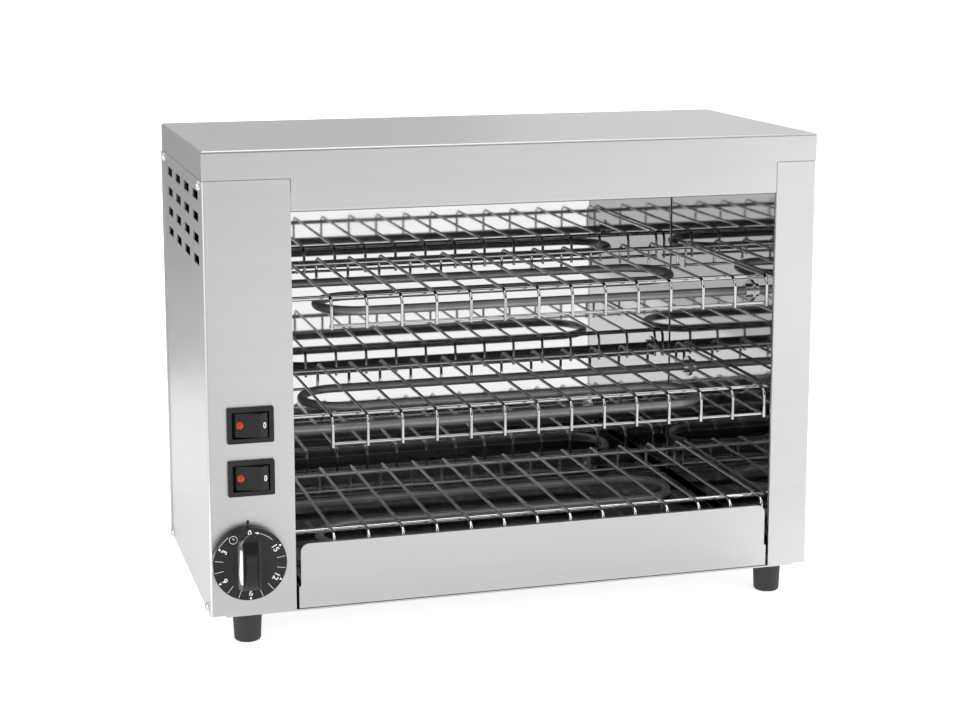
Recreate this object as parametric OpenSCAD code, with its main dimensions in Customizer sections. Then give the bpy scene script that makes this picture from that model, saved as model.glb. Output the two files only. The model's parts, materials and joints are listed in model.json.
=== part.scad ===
// Open-fronted toaster grill: three wire racks over bent tube heaters in a folded
// steel casing, with a control pillar on the left and a pull-out crumb tray.
// Millimetres. X runs to the right, Y to the back and Z up. The origin lies on the
// table under the middle of the outline. Shapes are laid out from the casing's
// front left bottom corner and then moved to that origin.

/* [Casing] */
// Outside width of the casing
casing_width = 443; // [410:1:500]
// Outside depth of the casing, front face to back face
casing_depth = 205; // [190:1:240]
// Height of the casing without its feet
casing_height = 320; // [312:1:360]
// Thickness of the folded sheet
sheet = 1; // [0.8:0.1:1.2]
// Outside radius of the sheet bends
bend_radius = 2; // [1.5:0.1:3]
// Gap at the seams between sheets
seam = 0.3; // [0.2:0.05:0.4]
// Width of the control pillar on the left
left_pillar = 59.4; // [57:0.2:66]
// Width of the plain pillar on the right
right_pillar = 30.4; // [29:0.2:38]
// Height of the cover's flange all round
cover_flange = 20; // [16:0.5:24]
// Height of the header between the pillars
header_height = 43; // [36:1:50]
// Depth of the safe edge folded under the header
header_hem = 8; // [5:0.5:12]
// Drop of the cover's lip behind the side panels
cover_lip = 8; // [7:0.5:12]
// Width of the side panels' returns on the back
back_return = 18; // [15:0.5:20]
// Width of the hem along the side panels' rear edge
side_hem = 9; // [6:0.5:9.5]
// Thickness of that hem
hem_thick = 0.8; // [0.6:0.1:1]
// Thickness of the base plate
base_plate = 1.2; // [1:0.1:2]
// Inset of the base plate from the casing's sides
base_inset = 10.5; // [8:0.5:14]
// Height of the base plate's side flanges
base_flange = 14; // [10:0.5:20]

/* [Inner walls] */
// Width of the flanges on the inner walls
liner_flange = 10; // [9:0.5:10.5]
// Distance of the inner ceiling below the casing's top
ceiling_drop = 30; // [26:1:36]
// Height of the inner ceiling's turned-up ends
ceiling_lip = 8; // [5:0.5:12]
// Height of the clear corner over each foot
foot_notch = 6; // [5:0.5:10]

/* [Vents] */
// Columns of slots in each side panel
vent_columns = 4; // [2:1:5]
// Rows of slots in each side panel
vent_rows = 4; // [2:1:6]
// Length of a slot
vent_length = 25; // [16:1:28]
// Height of a slot
vent_height = 6.2; // [4:0.2:7]
// Spacing of the columns
vent_column_pitch = 43.4; // [36:0.2:46]
// Spacing of the rows
vent_row_pitch = 14.8; // [10:0.2:18]
// Distance of the top row below the casing's top
vent_drop = 32; // [29:0.5:36]
// How far the slots stand in front of the panel's middle
vent_forward = 7; // [0:0.5:8]

/* [Racks] */
// Wires running front to back in each rack
rack_wires = 14; // [9:1:19]
// Diameter of the rack wires
wire_d = 2.2; // [1.8:0.1:2.6]
// Diameter of the two rods that carry a rack
rod_d = 3.4; // [3:0.1:4]
// Depth of the welds where wires meet
weld = 0.2; // [0.1:0.05:0.3]
// Bend radius of the rack wires
wire_bend = 7; // [5:0.5:9]
// Drop of the wires' legs
rack_drop = 21.7; // [18:0.1:24]
// Height of the bottom rack over the casing's lower edge
rack_height = 50.8; // [48:0.2:56]
// Spacing of the racks
rack_pitch = 82.7; // [74:0.1:86]
// Setback of the front legs from the front face
rack_front = 5.5; // [4:0.1:7]
// Clearance from the rear legs to the back face
rack_rear = 25; // [22:0.5:30]
// Setback of the front rod from the front legs
rod_front = 18; // [12:0.5:22]
// Setback of the rear rod from the rear legs
rod_rear = 15; // [12:0.5:18]
// Gap between the first wire and the left inner wall
rack_left = 27.1; // [2:0.1:34]
// Gap between the last wire and the right inner wall
rack_side = 2.4; // [2:0.1:4]
// Length of rod beyond the inner walls
rod_end = 4; // [3:0.5:6]

/* [Heaters] */
// Diameter of the heater tube
heater_d = 6.5; // [5:0.1:7]
// Height of the top and middle racks over their heaters' centre lines
heater_drop = 16.6; // [13:0.2:18]
// Height of the bottom rack over its heater's centre line
low_heater_drop = 23.6; // [13:0.2:24.6]
// Setback of the front pass from the front face
heater_front = 42; // [38:1:48]
// Setback of the back pass from the racks' rear legs
heater_rear = 18; // [14:1:24]
// Distance of the bends from the inner walls
heater_side = 28; // [20:1:36]
// Diameter of the fitting's flange on the inner wall
fitting_flange_d = 16; // [14:0.5:18]
// Diameter of the fitting's collar
fitting_d = 10; // [9:0.2:11]
// Length of the fitting's collar inside the oven
fitting_collar = 4; // [3:0.5:6]
// Thickness of the fitting's flange
fitting_flange = 1.2; // [1:0.1:2]
// Length of heater tube beyond the inner walls
heater_stub = 10; // [9:0.5:12]
// Thickness of the fitting's nut
fitting_nut = 4; // [3:0.5:5]
// Length of the ceramic end
insulator_length = 7; // [5:0.5:8]
// Diameter of the ceramic end
insulator_d = 9; // [8:0.2:10]
// Length of the terminal pin beyond the ceramic
pin_length = 6; // [4:0.5:7]
// Diameter of the terminal pin
pin_d = 3; // [2.5:0.1:4]

/* [Crumb tray] */
// Height of the tray's front
tray_front_height = 46; // [44:0.5:47]
// Corner radius of the tray's front
tray_corner = 6; // [3:0.5:10]
// Height of the front's wider foot
tray_foot_height = 16; // [10:0.5:20]
// Gap from the wider foot to the pillars
tray_gap = 2; // [1.2:0.1:3]
// Step in from the wider foot to the upper front
tray_step = 1.4; // [0.8:0.1:2]
// Height of the tray's walls
tray_wall = 18; // [12:0.5:22]
// Thickness of the tray's sheet
tray_sheet = 0.8; // [0.6:0.1:1]
// Fold along the top of the tray's front
tray_hem = 3; // [2:0.1:3.2]
// Gap behind the tray
tray_back_gap = 1; // [0.6:0.1:2]

/* [Timer] */
// Centre of the dial from the casing's left side
dial_x = 26.4; // [25:0.2:29]
// Centre of the dial over the casing's lower edge
dial_z = 37.7; // [36:0.2:42]
// Diameter of the dial
dial_d = 51; // [46:0.5:52]
// Gap behind the dial
dial_gap = 0.8; // [0.5:0.1:1.5]
// Thickness of the dial's skirt
dial_height = 7; // [6:0.5:9]
// Wall of the moulded dial
dial_wall = 1.8; // [1.4:0.1:2.2]
// Height of the grip over the dial
grip_height = 8; // [6:0.5:12]
// Width of the grip at the dial
grip_width = 12.2; // [10:0.2:14]
// Width of the grip along its crest
grip_crest = 7.2; // [5:0.2:9]
// Height of the grip over the dial at its two ends
grip_end = 0.8; // [0.5:0.1:2]
// Reach of the grip below the dial's centre
grip_tail = 18.4; // [16:0.2:19]
// Reach of the grip's straight sides above the centre
grip_shoulder = 12; // [10:0.2:13]
// Radius of the grip's pointed end
grip_point = 9; // [8:0.2:10]
// Diameter of the timer's shaft
shaft_d = 6; // [5:0.2:6.4]
// Running clearance round the shaft
shaft_clearance = 0.05; // [0.03:0.01:0.1]
// Diameter of the timer's case
timer_d = 38; // [34:1:40]
// Depth of the timer's case
timer_depth = 30; // [26:1:34]
// Spacing of the timer's screws
timer_screws = 28; // [25:0.5:30]

/* [Switches] */
// Centre of the switches from the casing's left side
switch_x = 29.4; // [28:0.2:31]
// Height of the lower switch's centre
switch_z = 96.4; // [94:0.2:100]
// Spacing of the two switches
switch_pitch = 36.9; // [33:0.1:40]
// Width of a bezel
bezel_w = 32; // [31:0.2:34]
// Height of a bezel
bezel_h = 24.8; // [24.2:0.2:28]
// Thickness of a bezel
bezel_t = 2; // [1.5:0.1:3]
// Corner radius of a bezel
bezel_corner = 1.2; // [0.6:0.1:2]
// Width of the rocker's opening
rocker_w = 25.4; // [25:0.1:26]
// Height of the rocker's opening
rocker_h = 18.4; // [17:0.1:18.6]
// Clearance round the rocker
rocker_clearance = 0.3; // [0.2:0.05:0.4]
// Wall of the switch body
switch_wall = 1.5; // [1.2:0.1:1.7]
// Depth of the switch body behind the panel
switch_depth = 22; // [20:0.5:26]
// Tilt of a rocker to either side
rocker_tilt = 13; // [9:0.5:14]
// Reach of the rocker's high ridge from its pivot
ridge_reach = 7.9; // [7:0.1:8.6]
// Height of the rocker's high ridge over its pivot
ridge_height = 6; // [5.4:0.1:6.4]
// Reach of the rocker's low edge from its pivot
low_reach = 9.5; // [9:0.1:10]
// Height of the rocker's low edge over its pivot
low_height = 4.7; // [4.2:0.1:5.2]
// Depth of the hollow in the rocker's face
rocker_dish = 0.7; // [0.4:0.1:1]
// Taper of the rocker's ends towards its face
rocker_draft = 0.8; // [0.3:0.1:1.2]
// Depth of the rocker's pivot behind the panel's face
pivot_y = 2.2; // [1.8:0.1:3]
// Diameter of the rocker's pivot pins
pivot_d = 3; // [2.5:0.1:3.4]
// Diameter of the round red window
lens_d = 5.2; // [4:0.1:5.4]

/* [Feet and fasteners] */
// Height of a foot
foot_height = 20; // [16:0.5:26]
// Diameter of a foot at its top
foot_d = 20.4; // [18:0.2:20.8]
// Taper of a foot from top to bottom
foot_taper = 1.8; // [0:0.1:3]
// Rounding of a foot's lower edge
foot_round = 2; // [1:0.1:3]
// Centre of the feet from the casing's sides
foot_x = 26.6; // [26:0.2:32]
// Centre of the feet from the casing's front and back
foot_y = 10.6; // [10.6:0.1:14]
// Diameter of the sheet metal screws
screw_d = 3; // [2.5:0.1:3.4]
// Diameter of their heads
screw_head_d = 6.6; // [5.4:0.1:6.6]
// Height of their heads
screw_head = 2.4; // [1.8:0.1:3]
// Length of their shanks
screw_length = 8; // [6:0.5:10]
// Clearance of screws in their holes
screw_clearance = 0.2; // [0.15:0.05:0.3]
// Side screws' distance from the front
side_screw_front = 12.3; // [11:0.1:14]
// Side screws' distance from the back
side_screw_back = 13; // [13:0.5:22]
// Side screws' distance from the seam and the lower edge
side_screw_edge = 3.8; // [3.6:0.1:4]
// Diameter of the feet's screws
foot_screw_d = 4; // [3:0.1:4.4]
// Thickness of rubber under the heads of the feet's screws
foot_floor = 6; // [4:0.5:9]
// Height of the lowest screws in the back over the casing's lower edge
back_screw_low = 32; // [20:1:50]
// Drop of the highest screws in the back below the casing's top
back_screw_drop = 51; // [45:1:70]

/* [Supply] */
// Gland's distance from the casing's left side
gland_x = 36; // [32:0.5:38]
// Height of the gland
gland_z = 62; // [58:1:80]
// Bore for the supply cable
gland_bore = 8; // [6:0.2:8.6]
// Diameter of the gland's thread
gland_thread = 12; // [11.4:0.2:13]
// Diameter of the gland's head
gland_head_d = 19; // [16:0.5:20]
// Thickness of the gland's head
gland_head = 5; // [4:0.5:7]
// Length of the gland's dome
gland_dome = 8; // [6:0.5:10]
// Length of the terminal block
block_length = 32; // [28:1:36]
// Width of the terminal block
block_width = 20; // [16:1:24]
// Height of the terminal block
block_height = 15; // [13:1:20]
// Terminal block's distance from the front
block_y = 139; // [120:1:150]
// Diameter of the terminal inserts
insert_d = 6.4; // [5:0.2:8]
// Diameter of the earth stud
stud_d = 5; // [4:0.2:6]
// Height of the earth stud
stud_height = 15; // [10:1:20]
// Earth stud's distance from the front
stud_y = 102.5; // [90:0.5:110]
// Diameter of the inner wiring
lead_d = 2.4; // [1.8:0.1:2.6]

/* [Hidden] */
$fn = 48;

// Where the casing's corner stands over the origin
base_z = foot_height + base_plate;
front_reach = dial_gap + dial_height + grip_height;
rear_reach = gland_head + gland_dome;
front_y = -casing_depth / 2 + (front_reach - rear_reach) / 2;

// Casing
panel_top = casing_height - cover_flange - seam;
oven_left = left_pillar;
oven_right = casing_width - right_pillar;
oven_width = oven_right - oven_left;
liner_front = sheet + seam;
liner_depth = casing_depth - 2 * liner_front;
liner_top = casing_height - ceiling_drop;
screw_top = panel_top - side_screw_edge;
side_screws = [[side_screw_front, screw_top], [casing_depth - side_screw_back, screw_top],
  [side_screw_front, side_screw_edge], [casing_depth - side_screw_back, side_screw_edge]];
back_screw_inset = liner_flange * 0.6;
back_screw_high = casing_height - back_screw_drop;
back_screw_heights = [back_screw_low, (back_screw_low + back_screw_high) / 2, back_screw_high];
back_screw_columns = [oven_left - back_screw_inset, oven_right + back_screw_inset];
foot_centres = [[foot_x, foot_y], [casing_width - foot_x, foot_y],
  [foot_x, casing_depth - foot_y], [casing_width - foot_x, casing_depth - foot_y]];
foot_nut = foot_screw_d * 0.8;

// Racks, listed from the top
rack_tops = [rack_height + 2 * rack_pitch, rack_height + rack_pitch, rack_height];
wire_back = casing_depth - rack_rear;
wire_step = (oven_width - rack_left - rack_side - wire_d) / (rack_wires - 1);
wire_first = oven_left + rack_left + wire_d / 2;
rod_under = (wire_d + rod_d) / 2 - weld;
tie_behind = wire_d - weld;
tie_over = wire_d;
rod_places = [rack_front + rod_front, wire_back - rod_rear];
rod_clearance = 0.3;

// Heaters: the middle one is turned end for end
heater_heights = [rack_tops[0] - heater_drop, rack_tops[1] - heater_drop,
  rack_tops[2] - low_heater_drop];
heater_back = wire_back - heater_rear;
heater_pitch = (heater_back - heater_front) / 2;
heater_clearance = 0.1;
heater_bend = heater_pitch / 2;
heater_ends_left = [heater_back, heater_front, heater_back];
heater_ends_right = [heater_front, heater_back, heater_front];
collar_bore = heater_d + 2 * heater_clearance;

// Crumb tray
tray_left = oven_left + tray_gap;
tray_width = oven_width - 2 * tray_gap;
tray_low = 2 * seam;
pan_side = tray_step + sheet;
pan_depth = casing_depth - 2 * sheet - seam - tray_back_gap;

// Timer and switches
grip_tip = grip_shoulder + sqrt(pow(grip_point, 2) - pow(grip_point - grip_width / 2, 2));
grip_span = (grip_tip + grip_tail) / 2;
grip_middle = (grip_tip - grip_tail) / 2;
grip_bow = grip_height - grip_end;
grip_arch = (pow(grip_span, 2) + pow(grip_bow, 2)) / (2 * grip_bow);
hub_wall = 3.5;
hub_d = shaft_d + 2 * hub_wall;
shaft_end = dial_height - dial_wall;
switch_heights = [switch_z + switch_pitch, switch_z];
rocker_radius = rocker_w / 2 - rocker_clearance;
face_low = [-low_reach, -low_height];
face_high = [ridge_reach, -ridge_height];
face_run = norm(face_high - face_low);
face_turn = atan2(face_high[1] - face_low[1], face_high[0] - face_low[0]);
dish_radius = (pow(face_run / 2, 2) + pow(rocker_dish, 2)) / (2 * rocker_dish);
rocker_root = [rocker_radius * 0.4, rocker_radius / 2];
rocker_tall = rocker_h - 2 * rocker_clearance;
lens_margin = 0.4;
lens_place = lens_margin + lens_d / 2;
lens_dip = sqrt(pow(dish_radius, 2) - pow(face_run / 2 - lens_place, 2)) - dish_radius + rocker_dish;
lens_fit = 0.05;
lens_proud = 0.8;
lens_sunk = 1.2;
tab_size = [5, 9, 0.8];
timer_plate = 1.5;
bush_wall = 2;
shaft_floor = 6;
shaft_play = 3;
screw_turn = [1, 3.4];

// Supply gland
thread_length = gland_head + 4 * sheet;
dome_r = gland_head_d / 2 - 1;
dome_round = 2;

// Terminals and inner wiring
insert_short = 2;
insert_step = block_length / 3;
stud_nut = 4;
stud_nut_across = 8;
lead_bend = 6;
pin_reach = heater_stub + insulator_length + pin_length;
lead_gap = 0.2;

// Moves a shape from the casing's corner to the origin
module place() translate([-casing_width / 2, front_y, base_z]) children();

// Sheet section with one bend: legs a along X and b along Y from the outer corner
module elbow2d(a, b, t, r) {
  translate([r, 0]) square([a - r, t]);
  translate([0, r]) square([t, b - r]);
  intersection() {
    translate([r, r]) difference() {
      circle(r);
      circle(r - t);
    }
    square(r);
  }
}

// Sheet section with a bend at each end of a web along Y
module channel2d(web, front, back, t, r) {
  elbow2d(front, web - r, t, r);
  translate([0, web]) mirror([0, 1]) elbow2d(back, 2 * r, t, r);
}

module rounded2d(w, h, r) {
  translate([r, 0]) square([w - 2 * r, h]);
  translate([0, r]) square([w, h - 2 * r]);
  for (x = [r, w - r], y = [r, h - r]) translate([x, y]) circle(r);
}

// Outline with two rounded upper corners
module arch2d(w, h, r) {
  square([w, h - r]);
  translate([r, 0]) square([w - 2 * r, h]);
  for (x = [r, w - r]) translate([x, h - r]) circle(r);
}

// Turn the drawing plane to face the front, or to face the right side
module facing_front(depth) rotate([90, 0, 0]) linear_extrude(depth) children();
module facing_side(width) rotate([90, 0, 90]) linear_extrude(width) children();

// Pan-head screw along Z: head above the plane, shank below
module pan_screw(d, head_d, head_h, length) {
  dome = (pow(head_d / 2, 2) + pow(head_h, 2)) / (2 * head_h);
  difference() {
    intersection() {
      translate([0, 0, head_h - dome]) sphere(dome);
      cylinder(d = head_d, h = head_h);
    }
    for (a = [0, 90]) rotate(a) translate([-screw_turn[1] / 2, -screw_turn[0] / 2, head_h * 0.4])
      cube([screw_turn[1], screw_turn[0], head_h]);
  }
  translate([0, 0, -length]) cylinder(d = d, h = length + head_h * 0.1);
}

module hex_nut(across, thick, bore) difference() {
  cylinder(d = across / cos(30), h = thick, $fn = 6);
  translate([0, 0, -1]) cylinder(d = bore, h = thick + 2);
}

// Round bar through a list of points, bent at each inner corner
function unit(v) = v / norm(v);
function turn(p, i) = acos(unit(p[i] - p[i - 1]) * unit(p[i + 1] - p[i]));
function setback(p, i, r) = i == 0 || i == len(p) - 1 ? 0 : r * tan(turn(p, i) / 2);

module bar_run(a, b, d) {
  w = b - a;
  translate(a) rotate([0, acos(w[2] / norm(w)), atan2(w[1], w[0])]) cylinder(d = d, h = norm(w));
}

module bar_bend(p, i, d, r) {
  u = unit(p[i] - p[i - 1]);
  v = unit(p[i + 1] - p[i]);
  inward = unit(v - u * (u * v));
  n = cross(u, inward);
  c = p[i] - u * setback(p, i, r) + inward * r;
  multmatrix([[-inward[0], u[0], n[0], c[0]], [-inward[1], u[1], n[1], c[1]],
    [-inward[2], u[2], n[2], c[2]], [0, 0, 0, 1]])
    rotate_extrude(angle = turn(p, i)) translate([r, 0]) circle(d = d);
}

module bar(p, d, r) {
  for (i = [0 : len(p) - 2]) {
    u = unit(p[i + 1] - p[i]);
    a = p[i] + u * setback(p, i, r);
    b = p[i + 1] - u * setback(p, i + 1, r);
    if ((b - a) * u > 0.01) bar_run(a, b, d);
  }
  for (i = [1 : 1 : len(p) - 2]) bar_bend(p, i, d, r);
}

// Screws through the side panels, as [y, z] places on the left side
module at_side_screws() for (s = side_screws)
  translate([0, s[0], s[1]]) rotate([0, -90, 0]) children();
module on_right() translate([casing_width, 0, 0]) mirror([1, 0, 0]) children();

// Cover: a pan with flanges all round, a deeper header and lips behind the side panels
module cover_block(inset, bottom) {
  r = bend_radius - inset;
  h = casing_height - inset - bottom;
  intersection() {
    translate([inset, casing_depth, bottom]) facing_front(casing_depth)
      arch2d(casing_width - 2 * inset, h, r);
    translate([0, inset, bottom]) facing_side(casing_width)
      arch2d(casing_depth - 2 * inset, h, r);
  }
}

module cover_side_lip() {
  joint = casing_height - cover_flange;
  lip_front = 3 * sheet;
  lip_length = casing_depth - 2 * lip_front;
  difference() {
    union() {
      translate([sheet + seam, lip_front, joint - seam - cover_lip])
        cube([sheet, lip_length, cover_lip + 2 * seam + sheet]);
      translate([sheet / 2, lip_front, joint + seam]) cube([1.5 * sheet + seam, lip_length, 5 * sheet]);
    }
    at_side_screws() cylinder(d = screw_d + screw_clearance / 2, h = 8 * sheet, center = true);
  }
}

module top_cover() color("silver") place() {
  difference() {
    cover_block(0, casing_height - cover_flange);
    cover_block(sheet, casing_height - cover_flange - sheet);
  }
  translate([oven_left + seam, 0, casing_height - header_height])
    facing_side(oven_width - 2 * seam)
      elbow2d(header_hem, header_height - cover_flange + sheet, sheet, bend_radius);
  cover_side_lip();
  on_right() cover_side_lip();
}

// Side panels: pillar, side and back return in one bent sheet, hemmed outside at the rear
module vents() {
  span = (vent_columns - 1) * vent_column_pitch;
  for (i = [0 : vent_columns - 1], j = [0 : vent_rows - 1])
    translate([-sheet, (casing_depth - span - vent_length) / 2 - vent_forward + i * vent_column_pitch,
      casing_height - vent_drop - j * vent_row_pitch - vent_height / 2])
      cube([3 * sheet, vent_length, vent_height]);
}

module side_panel(pillar) difference() {
  union() {
    linear_extrude(panel_top) channel2d(casing_depth, pillar, back_return, sheet, bend_radius);
    translate([-hem_thick, casing_depth - side_hem, 0])
      cube([hem_thick + sheet / 2, side_hem - bend_radius, panel_top]);
  }
  vents();
  at_side_screws() cylinder(d = screw_d + 2 * screw_clearance, h = 4 * sheet, center = true);
}

module switch_hole(z) translate([switch_x, 0, z])
  cube([rocker_w + 2 * switch_wall + 2 * screw_clearance, 4 * sheet,
    rocker_h + 2 * switch_wall + 2 * screw_clearance], center = true);

module left_panel() color("silver") place() difference() {
  side_panel(left_pillar);
  for (z = switch_heights) switch_hole(z);
  translate([dial_x, 0, dial_z]) rotate([90, 0, 0]) {
    cylinder(d = shaft_d + 2 * (bush_wall + screw_clearance), h = 4 * sheet, center = true);
    for (s = [-1, 1]) translate([s * timer_screws / 2, 0, 0])
      cylinder(d = screw_d + 2 * screw_clearance, h = 4 * sheet, center = true);
  }
}

module right_panel() color("silver") place() on_right() side_panel(right_pillar);

// Back panel between the two returns, screwed to the inner walls
module at_back_screws() for (x = back_screw_columns, z = back_screw_heights)
  translate([x, casing_depth, z]) rotate([-90, 0, 0]) children();

module back_panel() color("gainsboro") place() difference() {
  translate([back_return + seam, casing_depth - sheet, seam])
    cube([casing_width - 2 * (back_return + seam), sheet, panel_top - seam]);
  at_back_screws() cylinder(d = screw_d + 2 * screw_clearance, h = 4 * sheet, center = true);
  translate([gland_x, casing_depth, gland_z]) rotate([90, 0, 0])
    cylinder(d = gland_thread + 2 * screw_clearance, h = 4 * sheet, center = true);
}

// Base plate, stepped up at the sides to flanges for the lower side screws
module base_step() difference() {
  union() {
    translate([sheet + seam, liner_front, 0])
      cube([base_inset + sheet - seam, liner_depth, sheet]);
    translate([sheet + seam, liner_front, 0]) cube([sheet, liner_depth, base_flange]);
  }
  at_side_screws() cylinder(d = screw_d + screw_clearance / 2, h = 8 * sheet, center = true);
}

module base_pan() color("silver") place() {
  difference() {
    translate([base_inset, seam, -base_plate])
      cube([casing_width - 2 * base_inset, casing_depth - 2 * seam, base_plate]);
    for (c = foot_centres) translate([c[0], c[1], -base_plate / 2])
      cylinder(d = foot_screw_d + 2 * screw_clearance, h = 3 * base_plate, center = true);
  }
  base_step();
  on_right() base_step();
}

// Inner walls: the oven's polished sides, bored for the rods and the heaters
module wall_bores(heater_ends) for (i = [0 : 2]) {
  for (y = rod_places) translate([0, y, rack_tops[i] - rod_under]) rotate([0, 90, 0])
    cylinder(d = rod_d + 2 * rod_clearance, h = 4 * sheet, center = true);
  translate([0, heater_ends[i], heater_heights[i]]) rotate([0, 90, 0])
    cylinder(d = fitting_d + 2 * screw_clearance, h = 4 * sheet, center = true);
}

module liner(heater_ends) difference() {
  union() {
    translate([0, liner_front, seam]) linear_extrude(liner_top - seam)
      mirror([1, 0]) channel2d(liner_depth, liner_flange, liner_flange, sheet, bend_radius);
    for (z = [seam, liner_top - sheet]) translate([-liner_flange, liner_front + 3 * sheet, z])
      cube([liner_flange, liner_depth - 6 * sheet, sheet]);
  }
  wall_bores(heater_ends);
  for (y = [0, casing_depth - 2 * foot_y]) translate([-2 * liner_flange, y, 0])
    cube([3 * liner_flange, 2 * foot_y, foot_notch]);
  for (z = back_screw_heights) translate([-back_screw_inset, casing_depth - liner_front, z])
    rotate([90, 0, 0]) cylinder(d = screw_d + screw_clearance / 2, h = 6 * sheet, center = true);
}

module left_liner() color("whitesmoke") place() translate([oven_left, 0, 0]) liner(heater_ends_left);

module right_liner() color("whitesmoke") place() translate([oven_right, 0, 0]) mirror([1, 0, 0])
  liner(heater_ends_right);

// Inner ceiling on the top flanges of the inner walls
module ceiling() color("whitesmoke") place() {
  reach = oven_width + 2 * (liner_flange - sheet);
  depth = liner_depth - 4 * sheet;
  translate([oven_left - liner_flange + sheet, liner_front + 2 * sheet + depth, liner_top])
    facing_front(depth) {
      elbow2d(reach - bend_radius, ceiling_lip, sheet, bend_radius);
      translate([reach, 0]) mirror([1, 0]) elbow2d(2 * bend_radius, ceiling_lip, sheet, bend_radius);
    }
}

module side_screws_left() color("gainsboro") place()
  at_side_screws() pan_screw(screw_d, screw_head_d, screw_head, screw_length);

module side_screws_right() color("gainsboro") place() on_right()
  at_side_screws() pan_screw(screw_d, screw_head_d, screw_head, screw_length);

module back_screws() color("gainsboro") place()
  at_back_screws() pan_screw(screw_d, screw_head_d, screw_head, screw_length);

// Racks: bent wires welded over two rods, with thin ties across the legs
module rack_wire_row(top) {
  low = top - rack_drop;
  for (i = [0 : rack_wires - 1]) {
    x = wire_first + i * wire_step;
    bar([[x, rack_front, low], [x, rack_front, top], [x, wire_back, top], [x, wire_back, low]],
      wire_d, wire_bend);
  }
}

module rack_frame(top) {
  for (y = rod_places) translate([oven_left - sheet - rod_end, y, top - rod_under]) rotate([0, 90, 0])
    cylinder(d = rod_d, h = oven_width + 2 * (sheet + rod_end));
  for (y = [rack_front + tie_behind, wire_back - tie_behind])
    translate([wire_first - wire_d / 2, y, top - rack_drop + tie_over]) rotate([0, 90, 0])
      cylinder(d = wire_d, h = (rack_wires - 1) * wire_step + wire_d);
}

module rack_top_wires() color("lightgray") place() rack_wire_row(rack_tops[0]);
module rack_top_frame() color("lightgray") place() rack_frame(rack_tops[0]);
module rack_middle_wires() color("lightgray") place() rack_wire_row(rack_tops[1]);
module rack_middle_frame() color("lightgray") place() rack_frame(rack_tops[1]);
module rack_bottom_wires() color("lightgray") place() rack_wire_row(rack_tops[2]);
module rack_bottom_frame() color("lightgray") place() rack_frame(rack_tops[2]);

// Heaters: three passes of tube in one plane, from one inner wall to the other
module heater(z) {
  start = oven_left - heater_stub;
  end = oven_right + heater_stub;
  left_bend = oven_left + heater_side + heater_d / 2;
  right_bend = oven_right - heater_side - heater_d / 2;
  mid = heater_front + heater_pitch;
  bar([[start, heater_back, z], [right_bend, heater_back, z], [right_bend, mid, z],
    [left_bend, mid, z], [left_bend, heater_front, z], [end, heater_front, z]], heater_d, heater_bend);
}

module heater_top() color("dimgray") place() heater(heater_heights[0]);
module heater_middle() color("dimgray") place()
  translate([oven_left + oven_right, 0, 0]) mirror([1, 0, 0]) heater(heater_heights[1]);
module heater_bottom() color("dimgray") place() heater(heater_heights[2]);

// Where each heater leaves the oven, turned so that Z points out of it
module at_heater_ends() for (i = [0 : 2]) {
  z = heater_heights[i];
  translate([oven_left, heater_ends_left[i], z]) rotate([0, -90, 0]) children();
  translate([oven_right, heater_ends_right[i], z]) rotate([0, 90, 0]) children();
}

module heater_fittings() color("lightgray") place() at_heater_ends() difference() {
  union() {
    translate([0, 0, -fitting_flange - fitting_collar])
      cylinder(d = fitting_d, h = fitting_collar + fitting_flange + fitting_nut + 2 * sheet);
    translate([0, 0, -fitting_flange]) cylinder(d = fitting_flange_d, h = fitting_flange);
  }
  cylinder(d = collar_bore, h = 4 * heater_stub, center = true);
}

module heater_nuts() color("lightgray") place() at_heater_ends()
  translate([0, 0, sheet]) hex_nut(fitting_flange_d - 1, fitting_nut, fitting_d + screw_clearance);

module heater_insulators() color("ivory") place() at_heater_ends() translate([0, 0, heater_stub])
  difference() {
    cylinder(d = insulator_d, h = insulator_length);
    translate([0, 0, -1]) cylinder(d = pin_d + 2 * heater_clearance, h = insulator_length + 2);
  }

module heater_pins() color("gainsboro") place() at_heater_ends() translate([0, 0, heater_stub])
  cylinder(d = pin_d, h = insulator_length + pin_length);

// Crumb tray: a shallow pan with a taller front, stepped where its foot is wider
module tray_pan() color("silver") place() translate([tray_left + pan_side, sheet, tray_low]) {
  w = tray_width - 2 * pan_side;
  difference() {
    linear_extrude(tray_wall) rounded2d(w, pan_depth, bend_radius);
    translate([tray_sheet, tray_sheet, tray_sheet]) linear_extrude(tray_wall)
      rounded2d(w - 2 * tray_sheet, pan_depth - 2 * tray_sheet, bend_radius - tray_sheet);
  }
}

module tray_front() color("silver") place() translate([tray_left, 0, tray_low]) {
  upper = tray_width - 2 * tray_step;
  translate([0, sheet, 0]) facing_front(sheet) {
    arch2d(tray_width, tray_foot_height, tray_step);
    translate([tray_step, 0]) arch2d(upper, tray_front_height, tray_corner);
  }
  translate([tray_step + tray_corner, 0, tray_front_height - sheet])
    cube([upper - 2 * tray_corner, tray_hem, sheet]);
  for (x = [0, tray_width - sheet]) translate([x, 0, 0])
    cube([sheet, 4 * tray_hem, tray_foot_height - tray_step]);
}

// Switches: a bezel with a deep body, and a rocker on two pins at its top and bottom
module switch_body(z) translate([switch_x, 0, z]) difference() {
  union() {
    translate([-bezel_w / 2, 0, -bezel_h / 2]) facing_front(bezel_t)
      rounded2d(bezel_w, bezel_h, bezel_corner);
    translate([-rocker_w / 2 - switch_wall, 0, -rocker_h / 2 - switch_wall])
      cube([rocker_w + 2 * switch_wall, switch_depth, rocker_h + 2 * switch_wall]);
  }
  translate([-rocker_w / 2, -2 * bezel_t, -rocker_h / 2])
    cube([rocker_w, 2 * bezel_t + pivot_y + rocker_radius, rocker_h]);
  translate([0, pivot_y, 0]) cylinder(d = pivot_d + 2 * shaft_clearance, h = 2 * rocker_h, center = true);
}

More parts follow.
